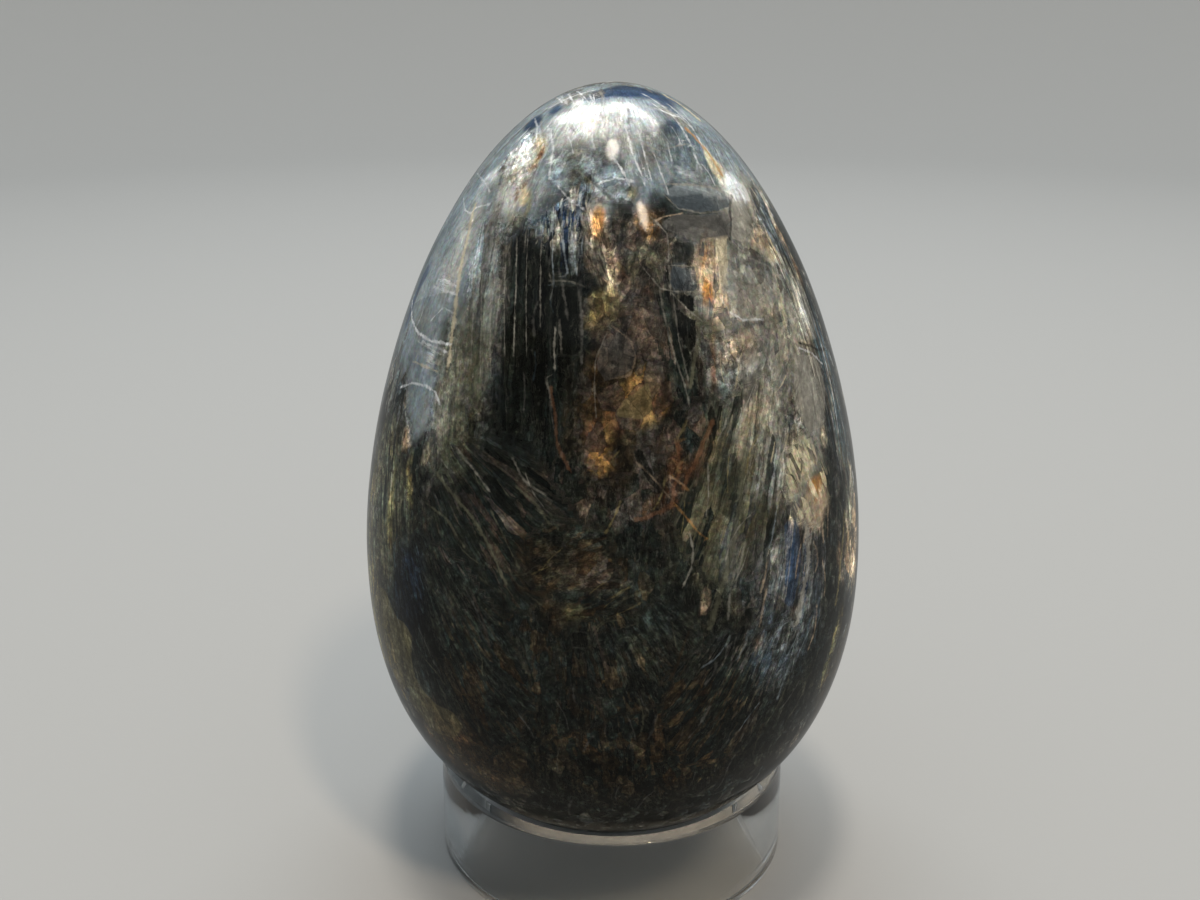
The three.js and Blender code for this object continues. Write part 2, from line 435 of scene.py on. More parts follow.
    ("smoke", (14, 26.2), (3.6, 4.6), 4, 0.3, 0.8),
    ("navy", (12.9, 26), (0.7, 3.2), 6, 0.35, 0.8),
    ("peach", (1.1, 22.8), (2.6, 3.2), 0, 0.35, 1, 64),
    ("peach", (2.2, 26.4), (0.9, 2.2), 0, 0.4, 0.8, 64),
    ("cream", (0.6, 24), (1, 2.6), 0, 0.5, 0.6, 64),
    ("midnight", (0, 18.6), (1, 1.3), 0, 0.4, 0.8, 65),
    ("olive", (0, 26.2), (1.6, 3.6), 0, 0.4, 0.25, 68),
    ("amber", (13.4, 22.9), (0.4, 0.5), 10, 0.4, 0.85),
    ("amber", (11.3, 21), (0.55, 0.6), 20, 0.5, 0.7),
    ("peach", (6.2, 23.5), (0.4, 0.9), 10, 0.5, 0.55),
    ("slate", (13.6, 21.6), (3.4, 4.6), 12, 0.4, 0.8),
    ("ice", (13.4, 20.4), (1.6, 2.4), 14, 0.6, 0.4),
    ("navy", (14.6, 25.6), (0.7, 2.6), 4, 0.4, 0.7),
    ("rind", (17.7, 19.4), (0.8, 2.8), 14, 0.35, 0.9),
    ("umber", (0, 12.4), (2.4, 5), 0, 0.4, 0.8, 62),
    # Left rim and the dark lower half
    ("olive", (0, 27), (4, 6), 2, 0.3, 0.95, -62),
    ("rind", (-17.2, 31), (0.6, 3.8), 2, 0.25),
    ("rind", (-15.4, 32.4), (0.35, 2.2), 2, 0.35, 0.8),
    ("cream", (-17.2, 33.2), (0.3, 1.2), 2, 0.4, 0.6),
    ("peach", (-15.6, 35.7), (0.6, 0.7), 0, 0.3, 0.85),
    ("rind", (0, 23.6), (1.2, 5.6), 0, 0.4, 0.8, -72),
    ("midnight", (-15.6, 24.2), (2.4, 4), 0, 0.3),
    ("ink", (-14, 19.4), (1.6, 3.6), -8, 0.4, 0.8),
    ("rind", (-17.9, 18.4), (1.1, 4), -10, 0.3, 0.5),
    ("olive", (0, 20), (2.4, 5), 0, 0.4, 0.8, -72),
    ("umber", (0, 15), (2.6, 7), 0, 0.4, 0.6, -72),
    ("rind", (0, 14), (1.8, 6), 0, 0.4, 0.4, -72),
    ("umber", (-13.6, 12.4), (3.2, 3.2), -30, 0.4),
    ("olive", (-14.8, 14), (1.3, 3.6), -28, 0.5, 0.5),
    ("umber", (-9.6, 9.4), (3.2, 2), -30, 0.5, 0.7),
    ("rust", (-12.6, 12.8), (1.2, 0.9), -30, 0.7, 0.3),
    ("umber", (-3, 26.6), (3.6, 1.7), 0, 0.5, 0.7),
    ("mauve", (-1.4, 26.2), (1.5, 1), 0, 0.5, 0.5),
    ("rind", (-2.8, 23), (0.9, 0.6), 0, 0.5, 0.35),
    ("umber", (-4.8, 23.4), (1.2, 0.9), 0, 0.5, 0.6),
    ("umber", (4.4, 32.6), (1.6, 1.6), 0, 0.5, 0.6),
    ("rust", (4.5, 33.2), (0.6, 1.8), 0, 0.8, 0.45),
    ("rust", (6, 34.6), (0.5, 1.6), 28, 0.8, 0.4),
    ("rust", (3.4, 30.8), (0.5, 1.4), 70, 0.8, 0.35),
)]

SECOND_COLOURS = [Second(*row) for row in (
    ("charcoal", (0, 20), (24, 20), 0, 0.4),
    ("mauve", (1, 38), (7, 9), 0, 0.26),
    ("charcoal", (-5.6, 43), (4, 9), 0, 0.25),
    ("smoke", (0, 57.5), (12, 6.5), 0, 0),
    ("milk", (-7, 57), (2, 2.4), 10, 0.3),
    ("smoke", (-13, 47), (4, 9), 15, 0.05),
    ("mist", (-3.2, 51.6), (2.2, 2.6), 0, 0.3),
    ("umber", (-0.8, 48.4), (1.6, 4), 0, 0.22),
    ("mauve", (1.6, 47), (2.6, 5), 0, 0.4),
    ("smoke", (10.5, 46), (5, 9), -6, 0.22),
    ("charcoal", (9.6, 36), (3.8, 5), 8, 0.3),
    ("olive", (8.4, 29), (3.2, 5.4), 10, 0.34),
    ("smoke", (13.6, 25.4), (4.2, 5.8), 5, 0.26),
    ("cream", (15, 31.4), (2.2, 2.6), 0, 0.15),
    ("mist", (14.4, 46), (1.6, 3.4), 0, 0.15),
    ("charcoal", (12, 19), (4.5, 4.5), 12, 0.4),
    ("smoke", (9, 17), (4, 5), 22, 0.22),
    ("charcoal", (-17.2, 31), (3, 5), 2, 0.2),
    ("teal", (-16, 24.8), (3, 4), 0, 0.05),
    ("mauve", (-10, 29), (5, 5), -35, 0.1),
    ("umber", (-3, 25.6), (5, 4), 0, 0.2),
    ("umber", (-11, 11), (6, 4.4), -30, 0.5),
    ("rind", (0, 16), (3.4, 8), 0, 0.35, -74),
    ("umber", (3, 14), (9, 7), 0, 0.3),
    ("umber", (-8, 18), (6, 6), 0, 0.22),
)]

CLUSTERS = [Cluster(*row) for row in (
    ((0, 58), (13, 7), 0, 10, (1.1, 3.4), (0.12, 0.7, 0.45, 0.25)),
    ((-1.6, 54.4), (4, 1.6), 30, 0, (1.1, 1.6), (0.35, 0.7, 0.3, 0.8)),
    ((-6.8, 56.2), (2, 2.6), 10, 0, (0.5, 0.7), (0.35, 0.2, 0.1, 0.9)),
    ((0, 45), (6, 8.4), 4, 0, (1.6, 8), (0.1, 0.3, 0.25, 0.3), -66),
    ((-13, 44.6), (3.4, 8.4), 16, 0, (1.5, 6), (0.1, 0.25, 0.2, 0.3)),
    ((-13.8, 42), (0.9, 1.5), 116, 0, (0.25, 3), (0.25, 1, 0.8, 0.3)),
    ((-12.6, 47.2), (0.6, 1), 116, 0, (0.25, 3), (0.25, 1, 0.8, 0.3)),
    ((-9.6, 46.4), (1.7, 7.6), 6, 0, (1.1, 9), (0.3, 0.45, 0.6, 0.6)),
    ((-5.6, 43), (3.4, 9.4), 1, 0, (1, 8), (0.8, 0.6, 0.35, 0.9)),
    ((-3.2, 50.6), (2.2, 3.4), 2, 0, (0.45, 2), (0.7, 0.8, 0.5, 1.2)),
    ((-0.8, 48.4), (1.4, 3.8), -16, 0, (0.5, 2.4), (0.6, 0.5, 0.6, 1)),
    ((2, 48), (2.2, 5), 14, 0, (0.7, 1.4), (0.6, 0.5, 0.2, 1.2)),
    ((0.8, 39.6), (3.6, 6), 10, 0, (1.3, 1.9), (0.6, 0.4, 0.1, 1.2)),
    ((6.4, 57), (4.4, 3), -16, 14, (1, 3.4), (0.2, 0.8, 0.5, 0.35)),
    ((5.8, 52), (3.6, 2), -80, 0, (1.2, 5), (0.2, 0.3, 0.4, 0.6)),
    ((9.8, 47.4), (4.4, 4.8), -10, 0, (1.1, 1.7), (0.3, 0.3, 0.2, 0.65)),
    ((6.7, 47.6), (1.1, 2.4), -2, 0, (0.5, 1.3), (0.3, 0.3, 0.3, 0.8)),
    ((4.8, 43.6), (1.6, 6), -8, 0, (0.9, 4), (0.7, 0.9, 0.3, 0.9)),
    ((11.4, 40), (2.6, 4.4), 12, 0, (0.7, 2.2), (0.25, 0.4, 0.4, 0.6)),
    ((14.6, 40.4), (1.8, 6), -10, 0, (1.1, 5), (0.2, 0.2, 0.35, 0.7)),
    ((0, 38), (2.4, 13), 0, 0, (0.4, 8), (0.7, 1, 0.9, 0.8), 66),
    ((9.4, 32.6), (4.6, 7.6), 11, 40, (0.7, 4.4), (0.4, 0.6, 0.5, 0.7)),
    ((14.4, 26), (4, 7.6), 5, 40, (0.7, 4), (0.6, 0.9, 0.6, 1)),
    ((15, 32.6), (2.6, 3.4), -24, 0, (0.5, 1.6), (0.15, 0.3, 0.2, 0.5)),
    ((-12, 38), (2.6, 6), 4, 0, (0.9, 5), (0.2, 0.6, 0.5, 0.9)),
    ((-17.4, 31), (2.8, 7), 2, 0, (0.5, 3), (0.6, 0.8, 0.5, 1.1)),
    ((-8.6, 29.4), (6.4, 6.2), -38, 16, (0.6, 3.4), (0.55, 0.35, 0.45, 0.9)),
    ((-12.6, 20), (6.4, 9), -22, 18, (0.7, 2.4), (0.7, 0.9, 0.35, 1.2)),
    ((-2.4, 26), (4.4, 3), 70, 0, (0.7, 1.2), (0.6, 0.6, 0.15, 1.4)),
    ((1.6, 19.6), (5, 4.6), -24, 16, (0.6, 1.9), (0.7, 0.9, 0.3, 1.3)),
    ((2.6, 11), (9, 5.6), -10, 0, (0.8, 1.6), (0.7, 0.7, 0.15, 1.4)),
    ((9.6, 16.6), (6, 6.6), 24, 30, (0.6, 2.4), (0.7, 0.9, 0.5, 1.2)),
)]

FACETS = [Facet(*row) for row in (
    ("teal", 0.3, ((-15.6, 46.6), (-12.1, 46.6), (-12, 42.9), (-13.5, 43.2), (-14.8, 44), (-15.5, 45.2))),
    ("slate", 0.8, (
        (3.9, 53.2), (6.2, 53.6), (8.5, 53.5), (8.5, 52.9), (7.5, 52.3), (6.2, 52), (4.6, 52.1),
    )),
    ("ice", 0.45, (
        (3.5, 53.5), (4.7, 53.9), (6.2, 54.1), (8.5, 54), (8.5, 53.2), (6.4, 53.3), (4.2, 52.9),
    )),
    ("smoke", 0.6, (
        (3.5, 51.2), (4.4, 51.7), (6.4, 51.8), (8.4, 52.2), (8.5, 51.2), (8.4, 50.4), (6.2, 50),
        (4.7, 50.2), (3.7, 50.6),
    )),
    ("charcoal", 0.7, ((4.1, 49.8), (5.6, 49.7), (5.7, 48.1), (4.1, 48.1))),
    ("slate", 0.7, ((4.1, 47.9), (5.8, 47.9), (5.9, 46.3), (4.1, 46.3))),
    ("ink", 0.97, ((4.2, 45.9), (5.7, 46), (5.9, 44.7))),
    ("ink", 0.95, ((4.3, 45), (5.8, 44.3), (6, 42.6), (5.5, 42), (4.6, 43.2))),
    ("ink", 0.9, ((4.8, 42.9), (5.5, 41.8), (5.4, 40.2), (5, 41))),
    ("ink", 0.85, ((-4.2, 46.7), (-2.4, 46.4), (-2.3, 41.6), (-4.3, 41.4))),
    ("smoke", 0.6, ((9.2, 39.7), (10.9, 41.6), (10.3, 39), (9.5, 37.8))),
    ("mist", 0.35, ((8.6, 41.2), (9.9, 42.6), (10.6, 41.8), (9, 39.9))),
    ("smoke", 0.3, ((-0.9, 42.6), (0.4, 43.3), (1.6, 42.2), (1.2, 40.4), (-0.6, 39.8), (-1.2, 40.8))),
    ("rind", 0.45, ((0.2, 37.4), (0.8, 38.5), (2.4, 39.7), (2.7, 38.6), (2.7, 37.3), (1.6, 37.2))),
    ("ink", 0.85, ((1.2, 35.6), (2, 35), (2.9, 33.2), (3.2, 32), (2.6, 32.6), (1.6, 34.2))),
    ("ink", 0.8, ((6.6, 37.4), (7, 38.6), (7.4, 36.8), (7.2, 35.4))),
    ("ink", 0.9, ((-2.9, 21.9), (-1.7, 21.8), (-1.6, 20.7), (-2.8, 20.6))),
    ("charcoal", 0.6, ((0.3, 53), (1.5, 52.6), (1.4, 51.2), (0.5, 51.4))),
    ("rind", 0.3, (
        (-3.2, 20.2), (-1.3, 18.8), (0.3, 18.6), (0.9, 18), (0.4, 16.2), (0.6, 14.8), (0.2, 13.4),
        (-2.4, 12.2), (-5.2, 13.6), (-6.6, 17), (-5.4, 20.2),
    ), -50),
    ("rind", 0.22, (
        (0.5, 14.6), (1.5, 13.7), (3, 13.3), (4.8, 13.5), (5.6, 12.6), (4, 10.8), (1.6, 10.2), (-1.6, 11.6),
    ), -50),
    ("ink", 0.6, ((-9.8, 33.6), (-8.4, 33), (-6.4, 30.4), (-7.6, 30.2))),
    ("mist", 0.2, (
        (8.1, 47.6), (9.4, 48.1), (11.4, 47.6), (11.7, 45.6), (10.6, 44.5), (8.9, 44.6), (8, 45.9),
    )),
    ("mist", 0.35, (
        (13.2, 48.5), (13.9, 48.2), (14.9, 46.4), (15.5, 44.8), (15.7, 43.6), (14.4, 43.3), (13.9, 45),
        (13.4, 47),
    )),
    ("mist", 0.6, ((13.4, 42.3), (15.4, 42.2), (16.2, 40), (16, 37), (14.6, 36.4), (13.4, 38.6))),
    ("mist", 0.6, ((8.7, 53.4), (9.6, 53.6), (10.3, 51.6), (9.4, 50.2), (8.5, 50.4))),
    ("milk", 0.3, ((7.8, 54.8), (8.4, 55.8), (9.8, 54.8), (10.2, 53.6), (8.9, 53.6))),
    ("cream", 0.5, ((7.3, 50.2), (8.2, 50.3), (8.2, 47), (7.6, 46.6))),
    ("navy", 0.5, ((12.9, 27), (13.2, 27.2), (13.2, 25), (12.9, 24.8))),
    ("smoke", 0.6, ((12.9, 31.4), (13.8, 31.4), (13.8, 30.2), (12.9, 30.2))),
    ("navy", 0.5, ((12.6, 29.8), (13.8, 29.9), (14.1, 27), (13.7, 24.2), (13.4, 23.2), (12.8, 23.6))),
    ("midnight", 0.5, ((15.3, 28.5), (16.3, 28.6), (16.3, 25.2), (16, 22.4), (15.1, 22.6), (15.3, 25.2))),
    ("charcoal", 0.5, ((7.6, 34.6), (8.8, 35), (9.6, 31.4), (8.6, 29.6), (7.4, 31))),
)]

LINES = [Line(*row) for row in (
    # Fine needles of the crown
    ("milk", 0.1, 0.7, ((-3.4, 61.9), (-3, 60.9))),
    ("milk", 0.08, 0.7, ((-2.7, 62.1), (-2, 61))),
    ("milk", 0.08, 0.6, ((-4.6, 61), (-3.2, 61.6), (-1.8, 62))),
    ("mist", 0.1, 0.7, ((-5.4, 59.4), (-5.2, 58.2))),
    ("milk", 0.12, 0.5, ((-4.8, 58.8), (-4.4, 56.8), (-4.6, 54.8))),
    ("milk", 0.09, 0.55, ((0.8, 58.6), (1.3, 56.4), (2.1, 54.2))),
    ("milk", 0.07, 0.5, ((1.5, 58.9), (2.1, 56.6), (2.6, 54.6))),
    ("milk", 0.07, 0.5, ((3, 56), (3.4, 54.8), (3.8, 53.6))),
    ("milk", 0.09, 0.6, ((0.2, 55.6), (0.7, 54.8), (1, 54.1))),
    ("milk", 0.12, 0.5, ((-0.8, 54), (0.2, 54.35), (1, 54.2))),
    ("mist", 0.1, 0.6, ((1.6, 57.4), (3.2, 56.6), (5.2, 57.4))),
    ("milk", 0.1, 0.5, ((2.4, 61.6), (4, 60.4), (5, 58.8), (5.6, 57.6))),
    ("milk", 0.1, 0.5, ((4.4, 60.6), (5.6, 59.4), (6.4, 57.8))),
    ("cream", 0.22, 0.8, ((4.2, 61.9), (5, 61.4), (6.2, 60.4))),
    ("amber", 0.2, 0.8, ((5.6, 58.6), (6.8, 57.2), (7.8, 55.6))),
    ("midnight", 0.16, 0.6, ((-2.1, 54.8), (-1, 53.6), (-0.4, 53))),
    ("milk", 0.1, 0.6, ((-3.8, 53.6), (-3, 52.6), (-2.4, 52.2))),
    ("milk", 0.1, 0.4, ((-10.4, 56.2), (-9.6, 55), (-9.3, 54.4))),
    # Rust and beige veins that cross beside the middle
    ("rust", 0.2, 0.5, ((6.9, 36.7), (6.4, 35.6), (6, 34.5), (5.4, 33.5), (5.1, 32.7))),
    ("rust", 0.2, 0.5, ((4.6, 35.2), (4.7, 34.2), (4.6, 33.2), (4.3, 32.4), (4.2, 31.3))),
    ("rust", 0.2, 0.4, ((4.2, 31.2), (3.6, 30.8), (2.8, 30.4), (2, 30.2))),
    ("peach", 0.1, 0.2, ((1.8, 34), (2.6, 33.3), (3.2, 32.6), (4, 31.7))),
    ("amber", 0.1, 0.5, ((4.5, 31.1), (5.3, 30.2), (5.9, 29.4), (6.5, 28.9))),
    ("amber", 0.1, 0.4, ((4.4, 33), (5.1, 32.4))),
    ("peach", 0.12, 0.5, ((4.3, 33), (5.1, 32.5))),
    ("rust", 0.14, 0.3, ((-4.3, 39), (-4, 37), (-3.9, 35.3), (-3.1, 33.8))),
    # Thin pale seams of the shards
    ("mist", 0.08, 0.6, ((2.9, 51.2), (3.8, 50.3), (3.9, 48), (4, 46.2))),
    ("peach", 0.08, 0.6, ((2.9, 51.2), (3.8, 51.6), (4.6, 51.8))),
    ("mist", 0.08, 0.5, ((3.8, 53), (4.6, 52.2), (6.2, 52), (7.6, 52.3))),
    ("mist", 0.12, 0.6, ((3.6, 54), (5.4, 54.1), (7, 54.1), (8.4, 53.8))),
    ("ink", 0.14, 0.8, ((8.6, 53.4), (8.45, 52.6), (8.55, 51.8), (8.45, 50.6))),
    ("mist", 0.06, 0.6, ((4.1, 48), (5.8, 47.95))),
    ("mist", 0.07, 0.5, ((2.3, 47.5), (3.3, 46.3), (4.2, 46.15), (6.1, 46.2))),
    ("mist", 0.08, 0.35, ((3.3, 45.8), (3.8, 43.2), (4.4, 41.2), (5, 39.7), (5.3, 38.4))),
    ("mist", 0.07, 0.35, ((4.2, 45.8), (4.6, 42.6), (5.2, 40.2))),
    ("olive", 0.16, 0.7, ((5.9, 44.4), (6.1, 42.8), (5.7, 41.4), (5.5, 39.8))),
    ("mist", 0.06, 0.5, ((4.3, 45.8), (5.2, 44.9), (6, 44.3))),
    ("mist", 0.06, 0.25, ((-0.6, 42.8), (-1.2, 41.4), (-1.3, 39.6), (-1.2, 37.6))),
    ("peach", 0.1, 0.22, ((0.2, 43.4), (1.2, 42.6), (1.6, 41.4), (1.2, 40.2), (0.2, 40))),
    ("mist", 0.07, 0.6, ((10.2, 39.8), (9.5, 38.2), (9, 36.6))),
    ("mist", 0.1, 0.5, ((10.4, 42.4), (9.2, 40.9), (8.2, 39.9))),
    ("milk", 0.1, 0.4, ((7.8, 45.6), (8.3, 44.8), (9.3, 44.4), (10.6, 44.5))),
    ("mist", 0.1, 0.5, ((7.9, 46.2), (8, 47.4), (8.9, 48.1), (10.4, 48.2))),
    ("mist", 0.1, 0.4, ((10.2, 49), (11.4, 48.7), (12, 47.8))),
    # Light edges of the upright blades
    ("mist", 0.09, 0.4, ((-10.2, 50.6), (-10.1, 46), (-10.2, 41.6))),
    ("mist", 0.06, 0.45, ((-9.5, 47.4), (-9.45, 44), (-9.5, 40.6))),
    ("mist", 0.09, 0.5, ((-8.6, 48.6), (-8.8, 44.8), (-8.75, 41))),
    ("mist", 0.06, 0.5, ((-7.7, 50), (-7.75, 46), (-7.7, 42))),
    ("mist", 0.07, 0.45, ((-6.9, 49.8), (-6.9, 46.6), (-7, 42))),
    ("mist", 0.05, 0.4, ((-6.1, 50.4), (-6.15, 46), (-6.1, 42))),
    ("mist", 0.07, 0.4, ((-5.1, 50.8), (-5.15, 48), (-5.1, 44))),
    ("ice", 0.07, 0.6, ((-4.3, 51.4), (-4.3, 48.6), (-4.2, 46.9))),
    ("ice", 0.08, 0.7, ((-3.7, 52.4), (-3.5, 49.4), (-3.2, 47.2))),
    ("ice", 0.07, 0.5, ((-3.1, 52.2), (-2.9, 49.6), (-2.6, 47.6))),
    ("mist", 0.08, 0.4, ((-4.2, 46.9), (-3, 46.8), (-2.3, 46.5))),
    ("smoke", 0.12, 0.6, ((-2.3, 46.4), (-2.2, 43.8), (-2.2, 41.4))),
    ("cream", 0.22, 0.6, ((-10.4, 53), (-10.9, 50.2), (-11.4, 47.4), (-11.6, 45), (-12, 41.6))),
    # Domes and short bars in the left glass
    ("milk", 0.12, 0.55, ((-13, 47.8), (-11.8, 47.2))),
    ("milk", 0.12, 0.45, ((-13.4, 47.3), (-11.7, 46.5))),
    ("milk", 0.13, 0.7, ((-15.8, 46.6), (-15.6, 45.2), (-14.8, 43.9), (-13.5, 43.1), (-12.1, 42.8))),
    ("milk", 0.1, 0.5, ((-11.5, 54.2), (-11.2, 53.1), (-10.7, 52.7), (-10.2, 53.1), (-9.3, 53.1))),
    ("milk", 0.08, 0.4, ((-13.5, 44.9), (-12.6, 45.6), (-12, 45.2))),
    ("milk", 0.12, 0.5, ((-14.2, 43.1), (-12.5, 42.3))),
    ("mist", 0.12, 0.5, ((-14.9, 42.5), (-12.9, 41.6))),
    ("cream", 0.12, 0.5, ((-15, 41.7), (-13.2, 40.9))),
    ("milk", 0.12, 0.55, ((-16.2, 39.9), (-15.2, 40.1), (-14, 39.8), (-13.1, 39.3), (-12.8, 38.6))),
    ("mist", 0.1, 0.5, ((-17, 41.6), (-17.3, 39.8), (-17.8, 38))),
    ("mist", 0.08, 0.5, ((-16.4, 41), (-16.8, 39.4), (-17, 38.6))),
    # Needles of the left fan
    ("mist", 0.1, 0.55, ((-11.2, 35), (-10, 33.6), (-9, 32.3))),
    ("olive", 0.16, 0.8, ((-12.7, 33), (-11.6, 31.7), (-10.2, 30.2), (-8.8, 28), (-7.8, 25.6))),
    ("olive", 0.12, 0.6, ((-13.8, 31), (-12.2, 30), (-11, 28.2))),
    ("mauve", 0.1, 0.7, ((-9, 28.8), (-8.3, 27), (-7.9, 25.8))),
    ("olive", 0.1, 0.6, ((-8.6, 30.4), (-7.6, 28.4), (-6.8, 26.8))),
    ("olive", 0.12, 0.6, ((-6.6, 32.2), (-5.4, 31.2), (-4.6, 30))),
    ("mauve", 0.12, 0.6, ((-10.2, 24.4), (-9.5, 22.6), (-9.1, 20.8))),
    ("umber", 0.2, 0.7, ((-6.4, 25), (-5, 24.6), (-4, 25.6))),
    # Right side
    ("ink", 0.14, 0.9, ((14.1, 43.1), (15, 43), (15.6, 42.8), (16.4, 43))),
    ("milk", 0.12, 0.5, ((14.1, 42.7), (15, 42.5), (15.9, 41.9))),
    ("olive", 0.3, 0.6, ((9.4, 34.6), (9.1, 31), (8.6, 28), (8, 25.4), (7.2, 22.6))),
    ("mist", 0.32, 0.75, ((14.5, 29.2), (14.8, 27.4), (14.8, 26.2), (14.4, 24.2), (14.1, 22.2))),
    ("peach", 0.14, 0.6, ((14.6, 29.9), (14.4, 28.6))),
    ("peach", 0.14, 0.6, ((15.9, 29.8), (16.1, 28.5))),
    ("peach", 0.12, 0.5, ((16.5, 30.4), (16.5, 28.9))),
    ("mist", 0.08, 0.5, ((13.4, 29.6), (13.2, 27), (13, 24.6))),
    ("rind", 0.2, 0.6, ((18.2, 30), (18, 27), (17.7, 23.4))),
    ("milk", 0.07, 0.5, ((16.2, 43), (17, 40), (17.6, 36.6))),
    ("mist", 0.07, 0.5, ((15.2, 48), (16, 45.4), (16.6, 43.4))),
    ("mist", 0.09, 0.5, ((13.4, 49.4), (14.6, 47), (15.4, 44.4))),
    ("peach", 0.14, 0.5, ((10.4, 56), (11.8, 53.6), (12.8, 51.4))),
    ("umber", 0.14, 0.7, ((5.4, 21.6), (4.9, 20), (4.4, 18.6))),
    ("mauve", 0.14, 0.6, ((-1.2, 22), (-0.8, 20.6), (-0.4, 19.2))),
)]

FIBRES = [Fibres(*row) for row in (
    # Crown
    ((-2.6, 61.3), (1.8, 0.6), -24, 14, (0.25, 0.7), ("milk", "mist"), 0.7),
    ((3.4, 60.6), (1.6, 0.8), 120, 10, (0.8, 2), ("mist", "milk", "ice"), 0.55),
    ((-5.2, 59.2), (1, 1.2), 0, 7, (0.4, 1), ("milk", "mist"), 0.6),
    ((-0.4, 57.8), (3.2, 1.2), -8, 12, (0.5, 1.3), ("milk", "smoke"), 0.35),
    ((-0.6, 59.2), (2.8, 1.1), -12, 16, (0.8, 2), ("ice", "mist", "smoke"), 0.4),
    ((5, 56.6), (2, 1.8), -30, 12, (0.5, 1.4), ("milk", "teal", "ice"), 0.45),
    # Left glass and the upright blades
    ((-13.4, 46), (1.8, 6), 18, 10, (0.8, 2.4), ("milk", "ice", "navy"), 0.3),
    ((-6.2, 44), (3, 7), 1, 18, (0.6, 3), ("smoke", "mist", "teal"), 0.4),
    ((-3.4, 51), (1.6, 2), 8, 12, (0.3, 1), ("mist", "ice"), 0.6),
    # Right side
    ((10.6, 38), (3.2, 4.6), 14, 22, (0.7, 2.4), ("mist", "olive", "charcoal", "cream"), 0.45),
    ((8.8, 30), (3.8, 6), 12, 26, (1.2, 4), ("mist", "olive", "charcoal", "rind"), 0.5),
    ((13.4, 25), (3, 5), 6, 18, (1, 3), ("mist", "ice", "midnight", "peach"), 0.5),
    ((11, 17.4), (4.6, 4.6), 26, 26, (1, 3.4), ("smoke", "ice", "olive", "ink"), 0.5),
    # Left side and the lower middle
    ((-9, 29), (4.6, 5.4), -38, 16, (0.8, 3), ("olive", "mauve", "ink", "mist"), 0.4),
    ((-11, 19), (5, 6), -24, 22, (0.8, 2.6), ("olive", "umber", "smoke", "ink"), 0.45),
    ((-3, 24.6), (4.4, 3.4), 62, 18, (0.6, 2), ("rind", "umber", "olive"), 0.35),
    ((1, 17.6), (5, 4), -16, 18, (0.8, 2.4), ("mauve", "olive", "smoke", "ink"), 0.4),
    ((3, 33), (4, 4), 20, 14, (0.5, 1.8), ("mauve", "umber", "ink", "rind"), 0.5),
    ((2, 10.6), (8, 4), 10, 18, (0.5, 1.8), ("umber", "smoke", "ink"), 0.35),
)]

# Minerals round the sides and the back, which the photograph doesn't show, follow the front's habits.
# Their azimuths run in degrees and their heights in millimetres.
HIDDEN_AZIMUTHS = (92.0, 268.0)
HIDDEN_HEIGHTS = (4.0, 62.0)
GOLDEN_SHARE = 0.6180339887

# How many of each kind there are, and the seed of its random numbers
HIDDEN_CLUSTERS = (26, 11)
HIDDEN_DARK = (22, 12)
HIDDEN_SHEAVES = (40, 13)
HIDDEN_SHARDS = (26, 14)
HIDDEN_SEAMS = (70, 15)
FIBRE_SEED = 16

DARK_COLOURS = ("ink", "charcoal", "umber", "midnight")
PALE_COLOURS = ("mist", "ice", "olive", "smoke")
TINT_COLOURS = ("olive", "smoke", "mauve", "peach", "rind", "navy", "cream", "amber")
SHARD_COLOURS = ("ink", "ink", "charcoal", "smoke", "umber")
SEAM_COLOURS = ("mist", "mist", "milk", "rind", "peach", "rust")

# Above this height every sheaf is pale, and below it this share of them
PALE_FROM = 44.0
PALE_SHARE = 0.3
SHEAF_STRENGTHS = (0.3, 0.5, 0.8)

# Corners of a shard, in shares of its half-width and half-height
SHARD_CORNERS = np.array(((-0.6, -1.0), (0.2, -0.8), (1.0, 0.5), (0.2, 1.0), (-0.7, 0.3)))


def hidden_places(count, seed):
    """Azimuths and heights spread evenly over the hidden sides: the golden share of the span for each
    step of height, with a random height inside the step."""
    random = np.random.default_rng(seed)
    number = np.arange(count)
    first, last = HIDDEN_AZIMUTHS
    low, high = HIDDEN_HEIGHTS
    azimuth = first + (last - first) * np.mod((number + 0.5) * GOLDEN_SHARE, 1.0)
    height = low + (high - low) * (number + random.uniform(0.2, 0.8, count)) / count
    return random, zip(azimuth, height)


def between(random, *ranges):
    """One random number from each range, in turn."""
    return tuple(random.uniform(low, high) for low, high in ranges)


def hidden_clusters():
    """Clusters of blades round the hidden sides, most of them upright, and some of them fans."""
    random, places = hidden_places(*HIDDEN_CLUSTERS)
    clusters = []
    for azimuth, height in places:
        size = between(random, (4.0, 7.0), (6.0, 10.0))
        lean = random.normal(0.0, 24.0)
        spread = random.choice((0.0, 12.0, 30.0))
        blade = between(random, (0.5, 1.2), (1.6, 6.0))
        traits = between(random, (0.3, 0.7), (0.5, 1.0), (0.2, 0.8), (0.7, 1.3))
        clusters.append(Cluster((0.0, height), size, lean, spread, blade, traits, azimuth))
    return clusters


